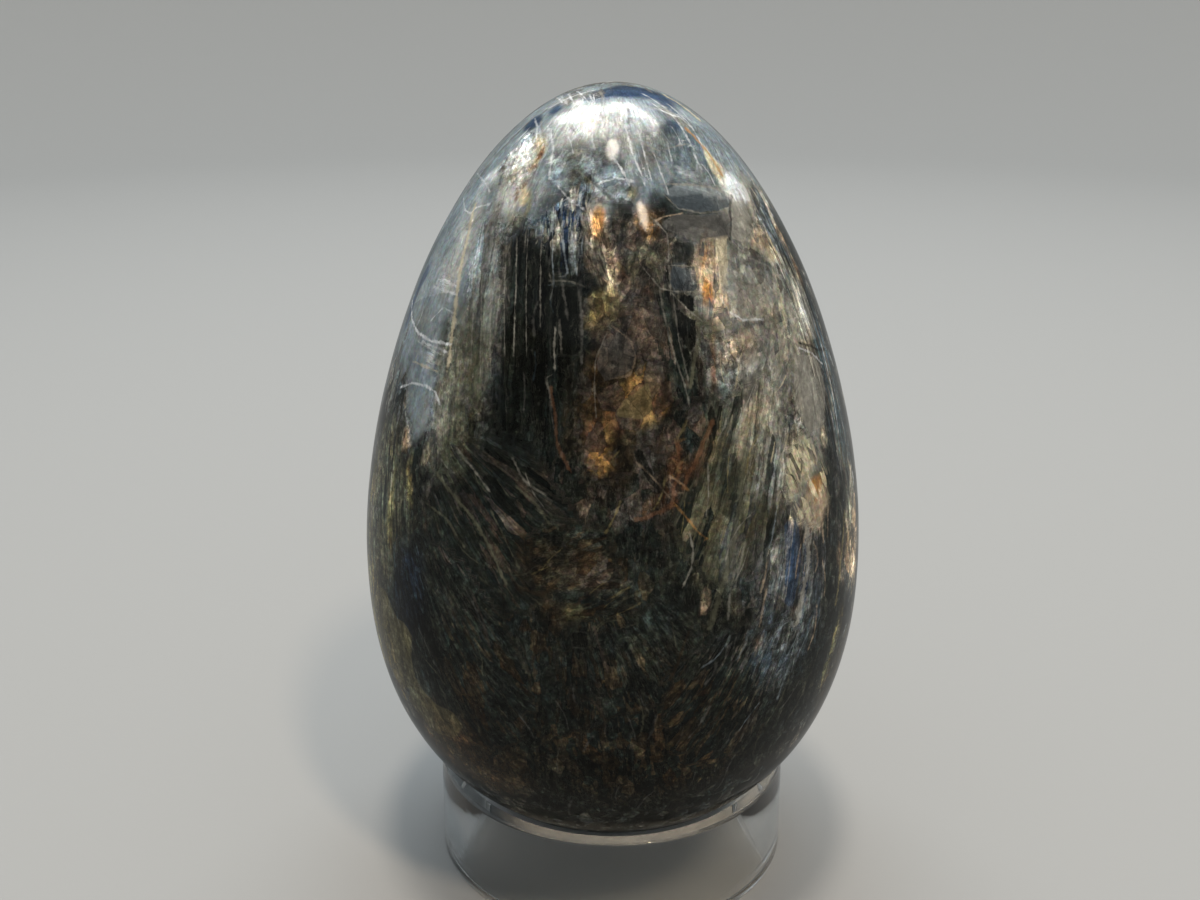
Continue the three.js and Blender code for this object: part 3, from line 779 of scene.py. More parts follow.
def hidden_patches():
    """Large dark patches round the hidden sides, and over them sheaves of narrow coloured ones, which
    are larger where they are fainter."""
    random, places = hidden_places(*HIDDEN_DARK)
    patches = []
    for azimuth, height in places:
        colour = random.choice(DARK_COLOURS)
        size = between(random, (3.0, 6.0), (5.0, 9.0))
        patches.append(Patch(colour, (0.0, height), size, random.normal(0.0, 20.0), 0.45, 0.8, azimuth))
    random, places = hidden_places(*HIDDEN_SHEAVES)
    for azimuth, height in places:
        pale = height > PALE_FROM or random.uniform() < PALE_SHARE
        colours = PALE_COLOURS if pale else TINT_COLOURS
        lean = random.normal(0.0, 18.0)
        for strength in SHEAF_STRENGTHS:
            place = (random.normal(0.0, 1.6), height + random.normal(0.0, 2.0))
            width, length = between(random, (0.3, 1.0), (1.0, 3.0))
            size = (width / strength, length / strength)
            tilt = random.normal(lean, 6.0)
            patches.append(Patch(random.choice(colours), place, size, tilt, 0.5, strength, azimuth))
    return patches


def hidden_facets():
    """Dark and smoky shards round the hidden sides, their corners moved at random."""
    random, places = hidden_places(*HIDDEN_SHARDS)
    facets = []
    for azimuth, height in places:
        size = np.array(between(random, (0.5, 1.3), (1.2, 3.2)))
        points = SHARD_CORNERS * size + random.normal(0.0, 0.25, SHARD_CORNERS.shape) + (0.0, height)
        colour = random.choice(SHARD_COLOURS)
        facets.append(Facet(colour, random.uniform(0.4, 0.8), points, azimuth))
    return facets


def bent_line(place, lean, reach, bulge):
    """Four points of a line through a place at a lean, reaching as far to each side: a share s from -1
    to 1 lies at s times the reach along it and at the bulge times (1 - s^2) beside it."""
    angle = math.radians(lean)
    share = np.linspace(-1.0, 1.0, 4)[:, None]
    along = np.array((math.sin(angle), math.cos(angle)))
    beside = np.array((math.cos(angle), -math.sin(angle)))
    return np.asarray(place) + share * reach * along + (1.0 - share**2) * bulge * beside


def hidden_lines():
    """Short, slightly bent seams round the hidden sides."""
    random, places = hidden_places(*HIDDEN_SEAMS)
    lines = []
    for azimuth, height in places:
        reach = random.uniform(1.0, 3.4)
        points = bent_line((0.0, height), random.normal(0.0, 26.0), reach, random.normal(0.0, 0.3))
        width, strength = between(random, (0.05, 0.13), (0.35, 0.7))
        lines.append(Line(random.choice(SEAM_COLOURS), width, strength, points, azimuth))
    return lines


def loose_fibres():
    """Thin seams strewn over the regions of the list, each near its region's lean."""
    random = np.random.default_rng(FIBRE_SEED)
    lines = []
    for fibres in FIBRES:
        for _ in range(fibres.count):
            place = random.uniform(-1.0, 1.0, 2) * fibres.size + fibres.place
            reach = random.uniform(*fibres.reach) / 2.0
            lean = random.normal(fibres.lean, 9.0)
            points = bent_line(place, lean, reach, random.normal(0.0, 0.12) * reach)
            width, share = between(random, (0.05, 0.12), (0.6, 1.2))
            colour = random.choice(fibres.colours)
            lines.append(Line(colour, width, share * fibres.strength, points))
    return lines


# Painting the minerals on the egg's vertices

SEAM_LAYERS = 4

# Waves that bend every outline: their wavelength and depth in millimetres, and their seeds
BEND = (7.0, 0.55, (1, 2, 3))
KINK = (2.2, 0.22, (4, 5, 6))

# Waves that fray the border of a mineral: their wavelength, their squeeze along the blades and their depth
FRAY_WAVELENGTH = 1.6
FRAY_SQUEEZE = (1.0, 1.0, 0.22)
FRAY_DEPTH = 0.22

# A mineral is measured out to this many of its sizes, and this much farther in every direction
MINERAL_REACH = 1.8
MINERAL_MARGIN = 1.0

# First seeds of the features of each list
PATCH_SEED = 100
CLUSTER_SEED = 200
SECOND_SEED = 300

# The ground between the minerals: the heights between which it darkens, partly the stone's dark body and
# partly painted shade of its dimly lit lower half, the share of its odd blades, the size of its blades and
# their traits
DARK_GROUND_AND_SHADE = (34.0, 14.0)
ODD_SHARE = 0.25
GROUND_BLADE = (0.9, 0.9, 1.8)
GROUND_TRAITS = (0.55, 0.8, 0.3, 1.2)
ODD_BORDER = (1.3, 0.7)

# Blades are thicker than wide, no fan is drawn in past this share of its spread, and the blades of one
# cluster are counted from a place of their own
BLADE_THICKNESS = 1.5
APEX_SHARE = 0.12
CLUSTER_SHIFT = 17.0

# Distances in millimetres: beyond the reach of any border, round a seam and round a facet that are
# worked out, between two seams of one layer, and of a seam that nothing is drawn on
FAR = 3.0
SEAM_REACH = 1.5
FACET_REACH = 2.0
SEAM_ROOM = 1.3
PLAIN_WIDTH = 0.1

# Points on each straight run of a seam that are compared with other seams, and the share of the waves
# that bends a facet
TRAIL_SHARES = np.linspace(0.0, 1.0, 9)[:, None]
FACET_BEND = 0.2


def trail_gap(trail, layer):
    """Least distance from a trail of points to the seams that a layer already holds."""
    gaps = (np.linalg.norm(trail[:, None] - other, axis=2).min() for _, _, other in layer)
    return min(gaps, default=SEAM_ROOM)


class StonePainter:
    """Works out the stone's attributes at every vertex of the egg, in millimetres."""

    def __init__(self, form, points, palette):
        self.form = form
        self.points = points
        self.palette = palette
        # Slow waves bend every outline, so that none of them is a plain ellipse.
        self.bent = points
        for wavelength, depth, seeds in (BEND, KINK):
            waves = np.stack([ripples(points, wavelength, seed) for seed in seeds], axis=1)
            self.bent = self.bent + depth * waves

    def around(self, feature, seed):
        """The vertices round a feature, by number, and their distance from its centre in shares of its
        size, with a border that is frayed along its blades."""
        centre, *axes = self.form.setting(feature.place, feature.lean, feature.azimuth)
        width, length = feature.size
        longest = max(feature.size)
        span = MINERAL_REACH * longest + MINERAL_MARGIN
        near = np.flatnonzero(np.abs(self.bent - centre).max(axis=1) < span)
        local = (self.bent[near] - centre) @ np.stack(axes, axis=1)
        share = np.linalg.norm(local / (width, longest + MINERAL_MARGIN, length), axis=1)
        fray = ripples(local * FRAY_SQUEEZE, FRAY_WAVELENGTH, seed)
        return near, share + FRAY_DEPTH * fray / max(1.0, width / 2.0)

    def mineral_colours(self):
        """Base colour of every vertex: patches laid over each other in turn."""
        colour = np.tile(self.palette["charcoal"], (len(self.points), 1))
        # The ground darkens towards the bottom: partly the stone's dark body, partly painted shade of the
        # dimly lit lower half
        low = smooth_step(*DARK_GROUND_AND_SHADE, self.points[:, 2])[:, None]
        colour += (self.palette["ink"] - colour) * low
        for number, patch in enumerate((*hidden_patches(), *PATCHES)):
            near, share = self.around(patch, PATCH_SEED + number)
            mask = patch.strength * smooth_step(1.0 + patch.soft, 1.0 - patch.soft, share)[:, None]
            colour[near] += (self.palette[patch.colour] - colour[near]) * mask
        return colour

    def second_colours(self):
        """Colour of the odd blades between the others, and their share."""
        colour = np.tile(self.palette["smoke"], (len(self.points), 1))
        share = np.full(len(self.points), ODD_SHARE)
        for number, second in enumerate(SECOND_COLOURS):
            near, reach = self.around(second, SECOND_SEED + number)
            mask = smooth_step(*ODD_BORDER, reach)
            colour[near] += (self.palette[second.colour] - colour[near]) * mask[:, None]
            share[near] += (second.share - share[near]) * mask
        return colour, share

    def blade_fields(self):
        """Place of every vertex among the blades, counted in blades across, through and along, with the
        traits of its cluster and the distance to the cluster's border. In a fan the place across is
        drawn in towards the apex, spread millimetres along the blades from the cluster's centre."""
        place = self.points / GROUND_BLADE
        traits = np.tile(GROUND_TRAITS, (len(self.points), 1))
        border = np.full(len(self.points), FAR)
        for number, cluster in enumerate((*hidden_clusters(), *CLUSTERS)):
            near, share = self.around(cluster, CLUSTER_SEED + number)
            width, length = cluster.blade
            centre, *axes = self.form.setting(cluster.place, cluster.lean, cluster.azimuth)
            straight = (self.points[near] - centre) @ np.stack(axes, axis=1)
            fan = np.ones(len(near))
            if cluster.spread:
                to_apex = np.maximum(cluster.spread - straight[:, 2], APEX_SHARE * cluster.spread)
                fan = cluster.spread / to_apex
            along = np.full(len(near), 1.0 / length)
            count = straight * np.stack((fan / width, fan / (BLADE_THICKNESS * width), along), axis=1)
            gap = (share - 1.0) * min(cluster.size)
            inside = near[gap < 0.0]
            place[inside] = count[gap < 0.0] + CLUSTER_SHIFT * (number + 1)
            traits[inside] = cluster.traits
            border[near] = np.where(gap < 0.0, -gap, np.minimum(border[near], np.abs(gap)))
        return place, traits, border

    def deal_lines(self):
        """The drawn lines dealt into layers, each into the layer whose lines all keep farthest from it, so
        that lines that cross or run side by side are measured apart."""
        layers = [[] for _ in range(SEAM_LAYERS)]
        for line in (*hidden_lines(), *loose_fibres(), *LINES):
            path = self.form.lift(line.points, line.azimuth)
            runs = zip(path[:-1], path[1:])
            trail = np.concatenate([start + (end - start) * TRAIL_SHARES for start, end in runs])
            room = [trail_gap(trail, layer) for layer in layers]
            roomy = [number for number, gap in enumerate(room) if gap >= SEAM_ROOM]
            chosen = roomy[0] if roomy else int(np.argmax(room))
            layers[chosen].append((line, path, trail))
        return layers

    def seams(self):
        """For each layer of lines the signed distance to the nearest line, how near it is, its half-width
        and its colour with its strength."""
        return [self.seam_layer(layer) for layer in self.deal_lines()]

    def seam_layer(self, layer):
        """Places and colours of one layer of lines."""
        count = len(self.points)
        side = np.full(count, FAR)
        gap = np.full(count, FAR)
        width = np.full(count, PLAIN_WIDTH)
        colour = np.tile(np.append(self.palette["mist"], 0.0), (count, 1))
        for line, path, _ in layer:
            outward = self.form.outward(path)
            finish = np.append(self.palette[line.colour], line.strength)
            low = path.min(axis=0) - SEAM_REACH
            high = path.max(axis=0) + SEAM_REACH
            near = np.flatnonzero(((self.points > low) & (self.points < high)).all(axis=1))
            for start, end, normal in zip(path[:-1], path[1:], outward):
                run = end - start
                length = np.linalg.norm(run)
                reach = self.points[near] - start
                share = np.clip(reach @ run / length**2, 0.0, 1.0)
                offset = reach - share[:, None] * run
                distance = np.linalg.norm(offset, axis=1)
                closer = distance < gap[near]
                chosen = near[closer]
                gap[chosen] = distance[closer]
                side[chosen] = (offset @ unit(np.cross(run, normal)))[closer]
                width[chosen] = line.width
                colour[chosen] = finish
        return np.stack((side, gap, width), axis=1), colour

    def facets(self):
        """Signed distance to the border of the nearest facet, below zero inside, and its colour with its
        strength. Each facet is measured in the plane that touches the egg at its middle."""
        count = len(self.points)
        depth = np.full(count, FACET_REACH)
        colour = np.tile(np.append(self.palette["smoke"], 0.0), (count, 1))
        bent = self.points + FACET_BEND * (self.bent - self.points)
        for facet in (*hidden_facets(), *FACETS):
            corners = self.form.lift(facet.points, facet.azimuth)
            middle = corners.mean(axis=0)
            outward = self.form.outward(middle[None, :])[0]
            across = unit(np.cross((0.0, 0.0, 1.0), outward))
            axes = np.stack((across, np.cross(outward, across)), axis=1)
            radius = np.linalg.norm(corners - middle, axis=1).max()
            near = np.linalg.norm(bent - middle, axis=1) < radius + FACET_REACH
            distance = polygon_distance((bent[near] - middle) @ axes, (corners - middle) @ axes)
            closer = distance < depth[near]
            chosen = np.flatnonzero(near)[closer]
            depth[chosen] = distance[closer]
            colour[chosen] = np.append(self.palette[facet.colour], facet.strength)
        return depth, colour


def polygon_distance(points, corners):
    """Distance from flat points to a polygon's border, below zero inside it: the least distance to its
    edges, with the sign from how often a level line to the right crosses them."""
    nearest = np.full(len(points), np.inf)
    crossings = np.zeros(len(points), dtype=int)
    for start, end in zip(corners, np.roll(corners, -1, axis=0)):
        run = end - start
        reach = points - start
        share = np.clip(reach @ run / (run @ run), 0.0, 1.0)
        nearest = np.minimum(nearest, np.linalg.norm(reach - share[:, None] * run, axis=1))
        spans = (start[1] > points[:, 1]) != (end[1] > points[:, 1])
        rise = run[1] if abs(run[1]) > 1e-9 else 1e-9
        crossing = start[0] + (points[:, 1] - start[1]) * run[0] / rise
        crossings += spans & (points[:, 0] < crossing)
    return np.where(crossings % 2 == 1, -nearest, nearest)


# Meshes

FRONT_CROWDING = 0.35

# The slow waves of the egg's hand polish: their wavelength in millimetres and their seed
POLISH_WAVES = (9.0, 7)


def turned(radius, height, turn):
    """Points of a profile carried round the upright axis: (r cos t, r sin t, z) for each of its points
    and every turn t."""
    across = radius[:, None] * np.cos(turn)
    away = radius[:, None] * np.sin(turn)
    up = np.broadcast_to(height[:, None], across.shape)
    return np.stack((across, away, up), axis=-1).reshape(-1, 3)


def even_turns(steps):
    """Angles of a full turn in even steps."""
    return FULL_TURN * np.arange(steps) / steps


def fan_faces(first, steps, pole):
    """Triangles between a pole and the ring of vertices that are numbered from first on."""
    step = np.arange(steps)
    return np.stack((first + step, first + (step + 1) % steps, np.full(steps, pole)), axis=1)


def grid_faces(rows, columns, wrap_rows):
    """Quads of a grid that wraps round its columns, and round its rows too where asked."""
    row = np.arange(rows if wrap_rows else rows - 1)[:, None]
    column = np.arange(columns)[None, :]
    next_row = (row + 1) % rows
    next_column = (column + 1) % columns
    corners = (
        row * columns + column,
        row * columns + next_column,
        next_row * columns + next_column,
        next_row * columns + column,
    )
    return np.stack(corners, axis=-1).reshape(-1, 4)


def build_mesh(name, vertices, faces):
    """A smooth-shaded object from vertex and face arrays, linked into the scene."""
    mesh = bpy.data.meshes.new(name)
    mesh.from_pydata(vertices.tolist(), [], [face for block in faces for face in block.tolist()])
    mesh.shade_smooth()
    mesh.validate()
    piece = bpy.data.objects.new(name, mesh)
    bpy.context.scene.collection.objects.link(piece)
    return piece


def add_attribute(mesh, name, values):
    """Stores a value, vector or colour for every vertex."""
    kinds = {1: ("FLOAT", "value"), 3: ("FLOAT_VECTOR", "vector"), 4: ("FLOAT_COLOR", "color")}
    values = np.asarray(values, dtype=np.float32)
    kind, key = kinds[1 if values.ndim == 1 else values.shape[1]]
    mesh.attributes.new(name, kind, "POINT").data.foreach_set(key, values.ravel())


def egg_surface(form, rings, steps, waviness):
    """Vertices of the egg in millimetres: ring k of n lies at the angle a = pi k / n from the blunt end,
    at h = -w - (L / 2 - w) cos a in the lower part and h = -w + (L / 2 + w) sin(a - pi / 2) above the
    fullest ring, where w is the drop of the fullest part and L the length. An even turn t becomes
    t - c cos t, which crowds the vertices on the front. Slow waves are taken off inwards, and a single
    vertex closes each pole."""
    angle = math.pi * np.arange(1, rings) / rings
    half = form.length / 2.0
    reach = np.where(angle < math.pi / 2.0, half - form.low, half + form.low)
    height = form.bottom + half - form.low - reach * np.cos(angle)
    radius = np.sqrt(form.radius_squared(height))
    even = even_turns(steps)
    turn = even - FRONT_CROWDING * np.cos(even)
    poles = np.array(((0.0, 0.0, form.bottom), (0.0, 0.0, form.bottom + form.length)))
    points = np.concatenate((turned(radius, height, turn), poles))
    depth = waviness * np.clip(0.5 + ripples(points, *POLISH_WAVES), 0.0, 1.0)
    depth[-2:] = 0.0
    return points - form.outward(points) * depth[:, None]


def egg_faces(rings, steps):
    """Quads between the rings and a fan of triangles at each pole."""
    low_pole = (rings - 1) * steps
    low_fan = fan_faces(0, steps, low_pole)[:, (1, 0, 2)]
    high_fan = fan_faces((rings - 2) * steps, steps, low_pole + 1)
    return grid_faces(rings - 1, steps, False), low_fan, high_fan


def rounded_profile(corners, arc_steps):
    """A closed outline with each corner (across, up, round) replaced by a circle arc that is tangent to
    both of its sides: centre on the bisector, arc from one tangent point to the other."""
    outline = []
    count = len(corners)
    for number, (x, z, round_size) in enumerate(corners):
        corner = np.array((x, z))
        before = unit(np.array(corners[number - 1][:2]) - corner)
        after = unit(np.array(corners[(number + 1) % count][:2]) - corner)
        half_angle = math.acos(float(np.clip(before @ after, -1.0, 1.0))) / 2.0
        centre = corner + unit(before + after) * round_size / math.sin(half_angle)
        tangent = round_size / math.tan(half_angle)
        start = corner + before * tangent - centre
        end = corner + after * tangent - centre
        share = np.linspace(0.0, 1.0, arc_steps + 1)[:, None]
        chord = start * (1.0 - share) + end * share
        outline.append(centre + unit(chord) * round_size)
    return np.concatenate(outline)


# Node graphs


class Graph:
    """Adds nodes to one tree and joins them, so that a material reads as a list of steps."""

    # Numbers of a mix node's two inputs and of its output, by kind
    MIX_SOCKETS = {"VECTOR": (4, 5, 1), "RGBA": (6, 7, 2)}

    def __init__(self, tree):
        self.tree = tree

    def feed(self, socket, value):
        """Links a socket's value, or sets a plain one."""
        if isinstance(value, bpy.types.NodeSocket):
            self.tree.links.new(value, socket)
        else:
            socket.default_value = value

    def add(self, kind, inputs=None, **settings):
        """A node with its settings made and its inputs fed."""
        node = self.tree.nodes.new(kind)
        for name, value in settings.items():
            setattr(node, name, value)
        for key, value in (inputs or {}).items():
            self.feed(node.inputs[key], value)
        return node

    def fold(self, operation, first, *others):
        """One operation carried on from value to value."""
        for value in others:
            first = self.math(operation, first, value)
        return first

    def math(self, operation, *values, clamp=False):
        """Result of a sum on plain values."""
        node = self.add("ShaderNodeMath", operation=operation, use_clamp=clamp)
        for socket, value in zip(node.inputs, values):
            self.feed(socket, value)
        return node.outputs[0]

    def vector(self, operation, first, second):
        """Result of a sum on two vectors."""
        node = self.add("ShaderNodeVectorMath", {0: first, 1: second}, operation=operation)
        return node.outputs[0]

    def scale(self, vector, factor):
        """A vector times a factor."""
        node = self.add("ShaderNodeVectorMath", {0: vector, "Scale": factor}, operation="SCALE")
        return node.outputs[0]

    def mix(self, kind, factor, first, second):
        """The first value, with a share of the second as large as the factor."""
        low, high, out = self.MIX_SOCKETS[kind]
        node = self.add("ShaderNodeMix", {0: factor, low: first, high: second}, data_type=kind)
        return node.outputs[out]

    def ramp(self, value, low, high, to_low=0.0, to_high=1.0):
        """S-curve from to_low at low to to_high at high."""
        inputs = {"Value": value, "From Min": low, "From Max": high, "To Min": to_low, "To Max": to_high}
        node = self.add("ShaderNodeMapRange", inputs, interpolation_type="SMOOTHSTEP")
        return node.outputs[0]

    def noise(self, vector, scale, detail=2.0, roughness=0.5):
        """Outputs of a noise field."""
        inputs = {"Vector": vector, "Scale": scale, "Detail": detail, "Roughness": roughness}
        return self.add("ShaderNodeTexNoise", inputs).outputs

    def bump(self, strength, distance, height, normal=None):
        """Normals of a height field that is as deep as the distance in metres, over other normals."""
        inputs = {"Strength": strength, "Distance": distance, "Height": height}
        if normal is not None:
            inputs["Normal"] = normal
        return self.add("ShaderNodeBump", inputs).outputs[0]

    def attribute(self, name):
        """Outputs of one of the mesh's attributes."""
        return self.add("ShaderNodeAttribute", attribute_name=name, attribute_type="GEOMETRY").outputs

    def split(self, vector):
        """The three parts of a vector."""
        return self.add("ShaderNodeSeparateXYZ", {0: vector}).outputs

    def group(self, name, maker, inputs):
        """A shared node group, made the first time that it is asked for."""
        tree = bpy.data.node_groups.get(name) or maker()
        return self.add("ShaderNodeGroup", inputs, node_tree=tree).outputs


def new_material(name):
    """A material with an empty tree, its graph and its output node."""
    material = bpy.data.materials.new(name)
    material.use_nodes = True
    material.node_tree.nodes.clear()
    graph = Graph(material.node_tree)
    return material, graph, graph.add("ShaderNodeOutputMaterial")


def new_group(name, inputs, outputs):
    """An empty node group with named sockets, with its graph and its input and output nodes."""
    tree = bpy.data.node_groups.new(name, "ShaderNodeTree")
    for socket_name, kind, default in inputs:
        socket = tree.interface.new_socket(socket_name, in_out="INPUT", socket_type=kind)
        if default is not None:
            socket.default_value = default
    for socket_name, kind in outputs:
        tree.interface.new_socket(socket_name, in_out="OUTPUT", socket_type=kind)
    graph = Graph(tree)
    return tree, graph, graph.add("NodeGroupInput").outputs, graph.add("NodeGroupOutput")


# Turn, in radians, and waves for each metre of the two directions of scuffs, and their squeeze
SCUFF_DIRECTIONS = ((0.5, 260.0), (-0.9, 340.0))
SCUFF_SQUEEZE = (1.0, 0.06, 1.0)


def handling_scratches_group():
    """Fine scuffs that any polished piece gathers: thin dents along two directions, broken up by noise."""
    inputs = (("Vector", "NodeSocketVector", None), ("Density", "NodeSocketFloat", 1.0))
    tree, graph, given, out = new_group("handling scratches", inputs, (("Height", "NodeSocketFloat"),))
    heights = []
    for turn, scale in SCUFF_DIRECTIONS:
        turned_place = {"Vector": given["Vector"], "Rotation": (turn,) * 3, "Scale": SCUFF_SQUEEZE}
        place = graph.add("ShaderNodeMapping", turned_place).outputs[0]
        field = graph.noise(place, graph.math("MULTIPLY", given["Density"], scale), 3.0)[0]
        middle = graph.math("ABSOLUTE", graph.math("SUBTRACT", field, 0.5))
        heights.append(graph.ramp(middle, 0.0, 0.025))
    broken = graph.ramp(graph.noise(given["Vector"], 90.0)[0], 0.4, 0.62)
    both = graph.math("MULTIPLY", heights[0], heights[1])
    graph.feed(out.inputs["Height"], graph.math("MAXIMUM", both, broken))
    return tree


def blades_group():
    """Crystal blades: the cell that a place falls in gives its tone, its pick of colour and its warmth,
    and the distance to the cell's border gives its edge."""
    inputs = (("Place", "NodeSocketVector", None), ("Edge Width", "NodeSocketFloat", 0.06))
    traits = ("Tone", "Pick", "Warmth")
    outputs = [(name, "NodeSocketFloat") for name in (*traits, "Edge")]
    tree, graph, given, out = new_group("crystal blades", inputs, outputs)
    cells = {"Vector": given["Place"], "Scale": 1.0, "Randomness": 0.9}
    cell = graph.add("ShaderNodeTexVoronoi", cells)
    border = graph.add("ShaderNodeTexVoronoi", cells, feature="DISTANCE_TO_EDGE").outputs["Distance"]
    for name, channel in zip(traits, graph.split(cell.outputs["Color"])):
        graph.feed(out.inputs[name], channel)
    graph.feed(out.inputs["Edge"], graph.ramp(border, 0.0, given["Edge Width"], 1.0, 0.0))
    return tree


def fibres_group():
    """Long thin lines along the blades: the middle contour of a stretched noise, patchily faded and
    broken up along its length."""
    inputs = (
        ("Place", "NodeSocketVector", None),
        ("Stretch", "NodeSocketVector", (2.0, 2.0, 0.25)),
        ("Width", "NodeSocketFloat", 0.03),
        ("Spread", "NodeSocketFloat", 0.5),
    )
    tree, graph, given, out = new_group("crystal fibres", inputs, (("Line", "NodeSocketFloat"),))
    field = graph.noise(graph.vector("MULTIPLY", given["Place"], given["Stretch"]), 1.0, 3.0, 0.6)[0]
    middle = graph.math("ABSOLUTE", graph.math("SUBTRACT", field, 0.5))
    line = graph.ramp(middle, 0.0, given["Width"], 1.0, 0.0)
    patch = graph.noise(graph.vector("MULTIPLY", given["Place"], (0.9, 0.9, 0.6)), 1.0, 2.0)[0]
    patchy = graph.ramp(patch, given["Spread"], graph.math("ADD", given["Spread"], 0.16))
    dash = graph.noise(graph.vector("MULTIPLY", given["Place"], (2.5, 2.5, 5.0)), 1.0, 2.0)[0]
    dashed = graph.ramp(dash, 0.4, 0.6, 0.15, 1.0)
    graph.feed(out.inputs["Line"], graph.fold("MULTIPLY", patchy, dashed, line))
    return tree


def glints_group():
    """Tiny flakes that catch the light: small round spots at the middle of one cell in a few."""
    inputs = (("Vector", "NodeSocketVector", None), ("Share", "NodeSocketFloat", 0.15))
    tree, graph, given, out = new_group("mica glints", inputs, (("Glint", "NodeSocketFloat"),))
    cell = graph.add("ShaderNodeTexVoronoi", {"Vector": given["Vector"], "Scale": 1.0, "Randomness": 1.0})
    pick = graph.math("LESS_THAN", graph.split(cell.outputs["Color"])[0], given["Share"])
    size = graph.math("MULTIPLY_ADD", graph.split(cell.outputs["Color"])[1], 0.22, 0.08)
    spot = graph.ramp(graph.math("DIVIDE", cell.outputs["Distance"], size), 0.5, 1.0, 1.0, 0.0)
    graph.feed(out.inputs["Glint"], graph.math("MULTIPLY", spot, pick))
    return tree


# Noise fields of the stone: waves for each millimetre or blade, detail and roughness
WAVER = (0.8, 6.0, 0.64)
FINE = (1.0, 4.0, 0.65)
GRAIN = (1.8, 6.0, 0.72)
CLOUD = (0.35, 4.0, 0.6)
SPECKLE = (2.6, 4.0, 0.7)
BREAKS = (1.5, 3.0, 0.6)
DRIFT = (0.8, 4.0, 0.5)

# How far the waver bends blades and crumbs, and how many needles, fine streaks, crumbs and glints lie side
# by side in a blade or a millimetre
BLADE_WAVER = (0.7, 0.7, 0.3)
CRUMB_WAVER = 2.0
NEEDLES = (3.1, 3.1, 2.0)
FINE_STREAKS = (6.0, 6.0, 1.6)
CRUMBS = 2.4
GLINTS = 1.9

# Where each mask begins and ends in the value that it reads, and its strength at both
MASKS = {
    "second blade": (-0.03, 0.03, 0.0, 0.8),
    "second needle": (-0.03, 0.03, 0.0, 0.55),
    "warmth": (0.1, 0.55, 0.3, 1.0),
    "cloud swing": (0.1, 0.6, 1.2, 3.4),
    "facet": (-0.05, 0.05, 1.0, 0.0),
    "facet border": (0.02, 0.1, 0.3, 0.0),
    "breaks": (0.36, 0.6, 0.25, 1.0),
    "gap": (0.12, 0.55, 0.1, 0.7),
    "seam swell": (0.35, 0.65, 0.4, 1.4),
    "whole seam": (0.09, 0.16, 0.0, 0.9),
    "seam body": (0.3, 1.4, 1.0, 0.0),
    "seam end": (0.2, 0.45, 1.0, 0.0),
    "crack": (0.02, 0.16, 0.4, 0.0),
    "glint": (0.45, 0.6, 0.1, 0.55),
    "roughness": (0.3, 0.7, 0.32, 0.5),
}

# How far the tone swings, as a power of e, for each trait that governs it
BLADE_SWING = 1.8
NEEDLE_SWING = 1.5
CRUMB_SWING = 0.75
STREAK_SWING = 4.0
GRAIN_SWING = 4.0

# Shares of the swing that facets and seams take part in, and of the blades and clouds in the warmth
FACET_SWING = 0.5
SEAM_SWING = 0.4
BLADE_WARMTH = 0.6
CLOUD_WARMTH = 2.6
COOL_TINT = (0.84, 1.0, 1.12, 1.0)
WARM_TINT = (1.12, 1.0, 0.84, 1.0)
NEEDLE_PICK = -1.6

# The speckle's share of the colour, and the rest
SPECKLE_SHARE = 0.7
PLAIN_SHARE = (0.65, 0.65, 0.65)

# Paler and darker colours: the factor on a colour, and what is added to it
BORDER_LIGHT = (1.8, (0.05, 0.05, 0.045))
HAIR_LIGHT = (2.0, (0.045, 0.046, 0.038))
GLINT_LIGHT = (2.2, (0.04, 0.04, 0.037))
GAP_SHADE = 0.35

# Strengths of the gaps between crumbs and of the hairlines, how far the borders of facets and seams
# drift in millimetres, and the share of the cells that hold a glint
CRUMB_GAPS = 0.35
HAIR_STRENGTH = 0.75
FACET_DRIFT = 0.5
SEAM_DRIFT = 0.14
GLINT_SHARE = 0.16

# Fibres: their shift, their stretch, their half-width and how thinly they are spread
DARK_FIBRES = ((31.0, 17.0, 5.0), (2.4, 2.4, 0.5), 0.03, 0.42)
PALE_FIBRES = (
    ((0.0, 0.0, 0.0), (1.9, 1.9, 0.3), 0.024, 0.36),
    ((9.0, 41.0, 3.0), (0.6, 0.6, 2.2), 0.014, 0.5),
    ((57.0, 3.0, 23.0), (3.4, 3.4, 0.7), 0.034, 0.42),
)


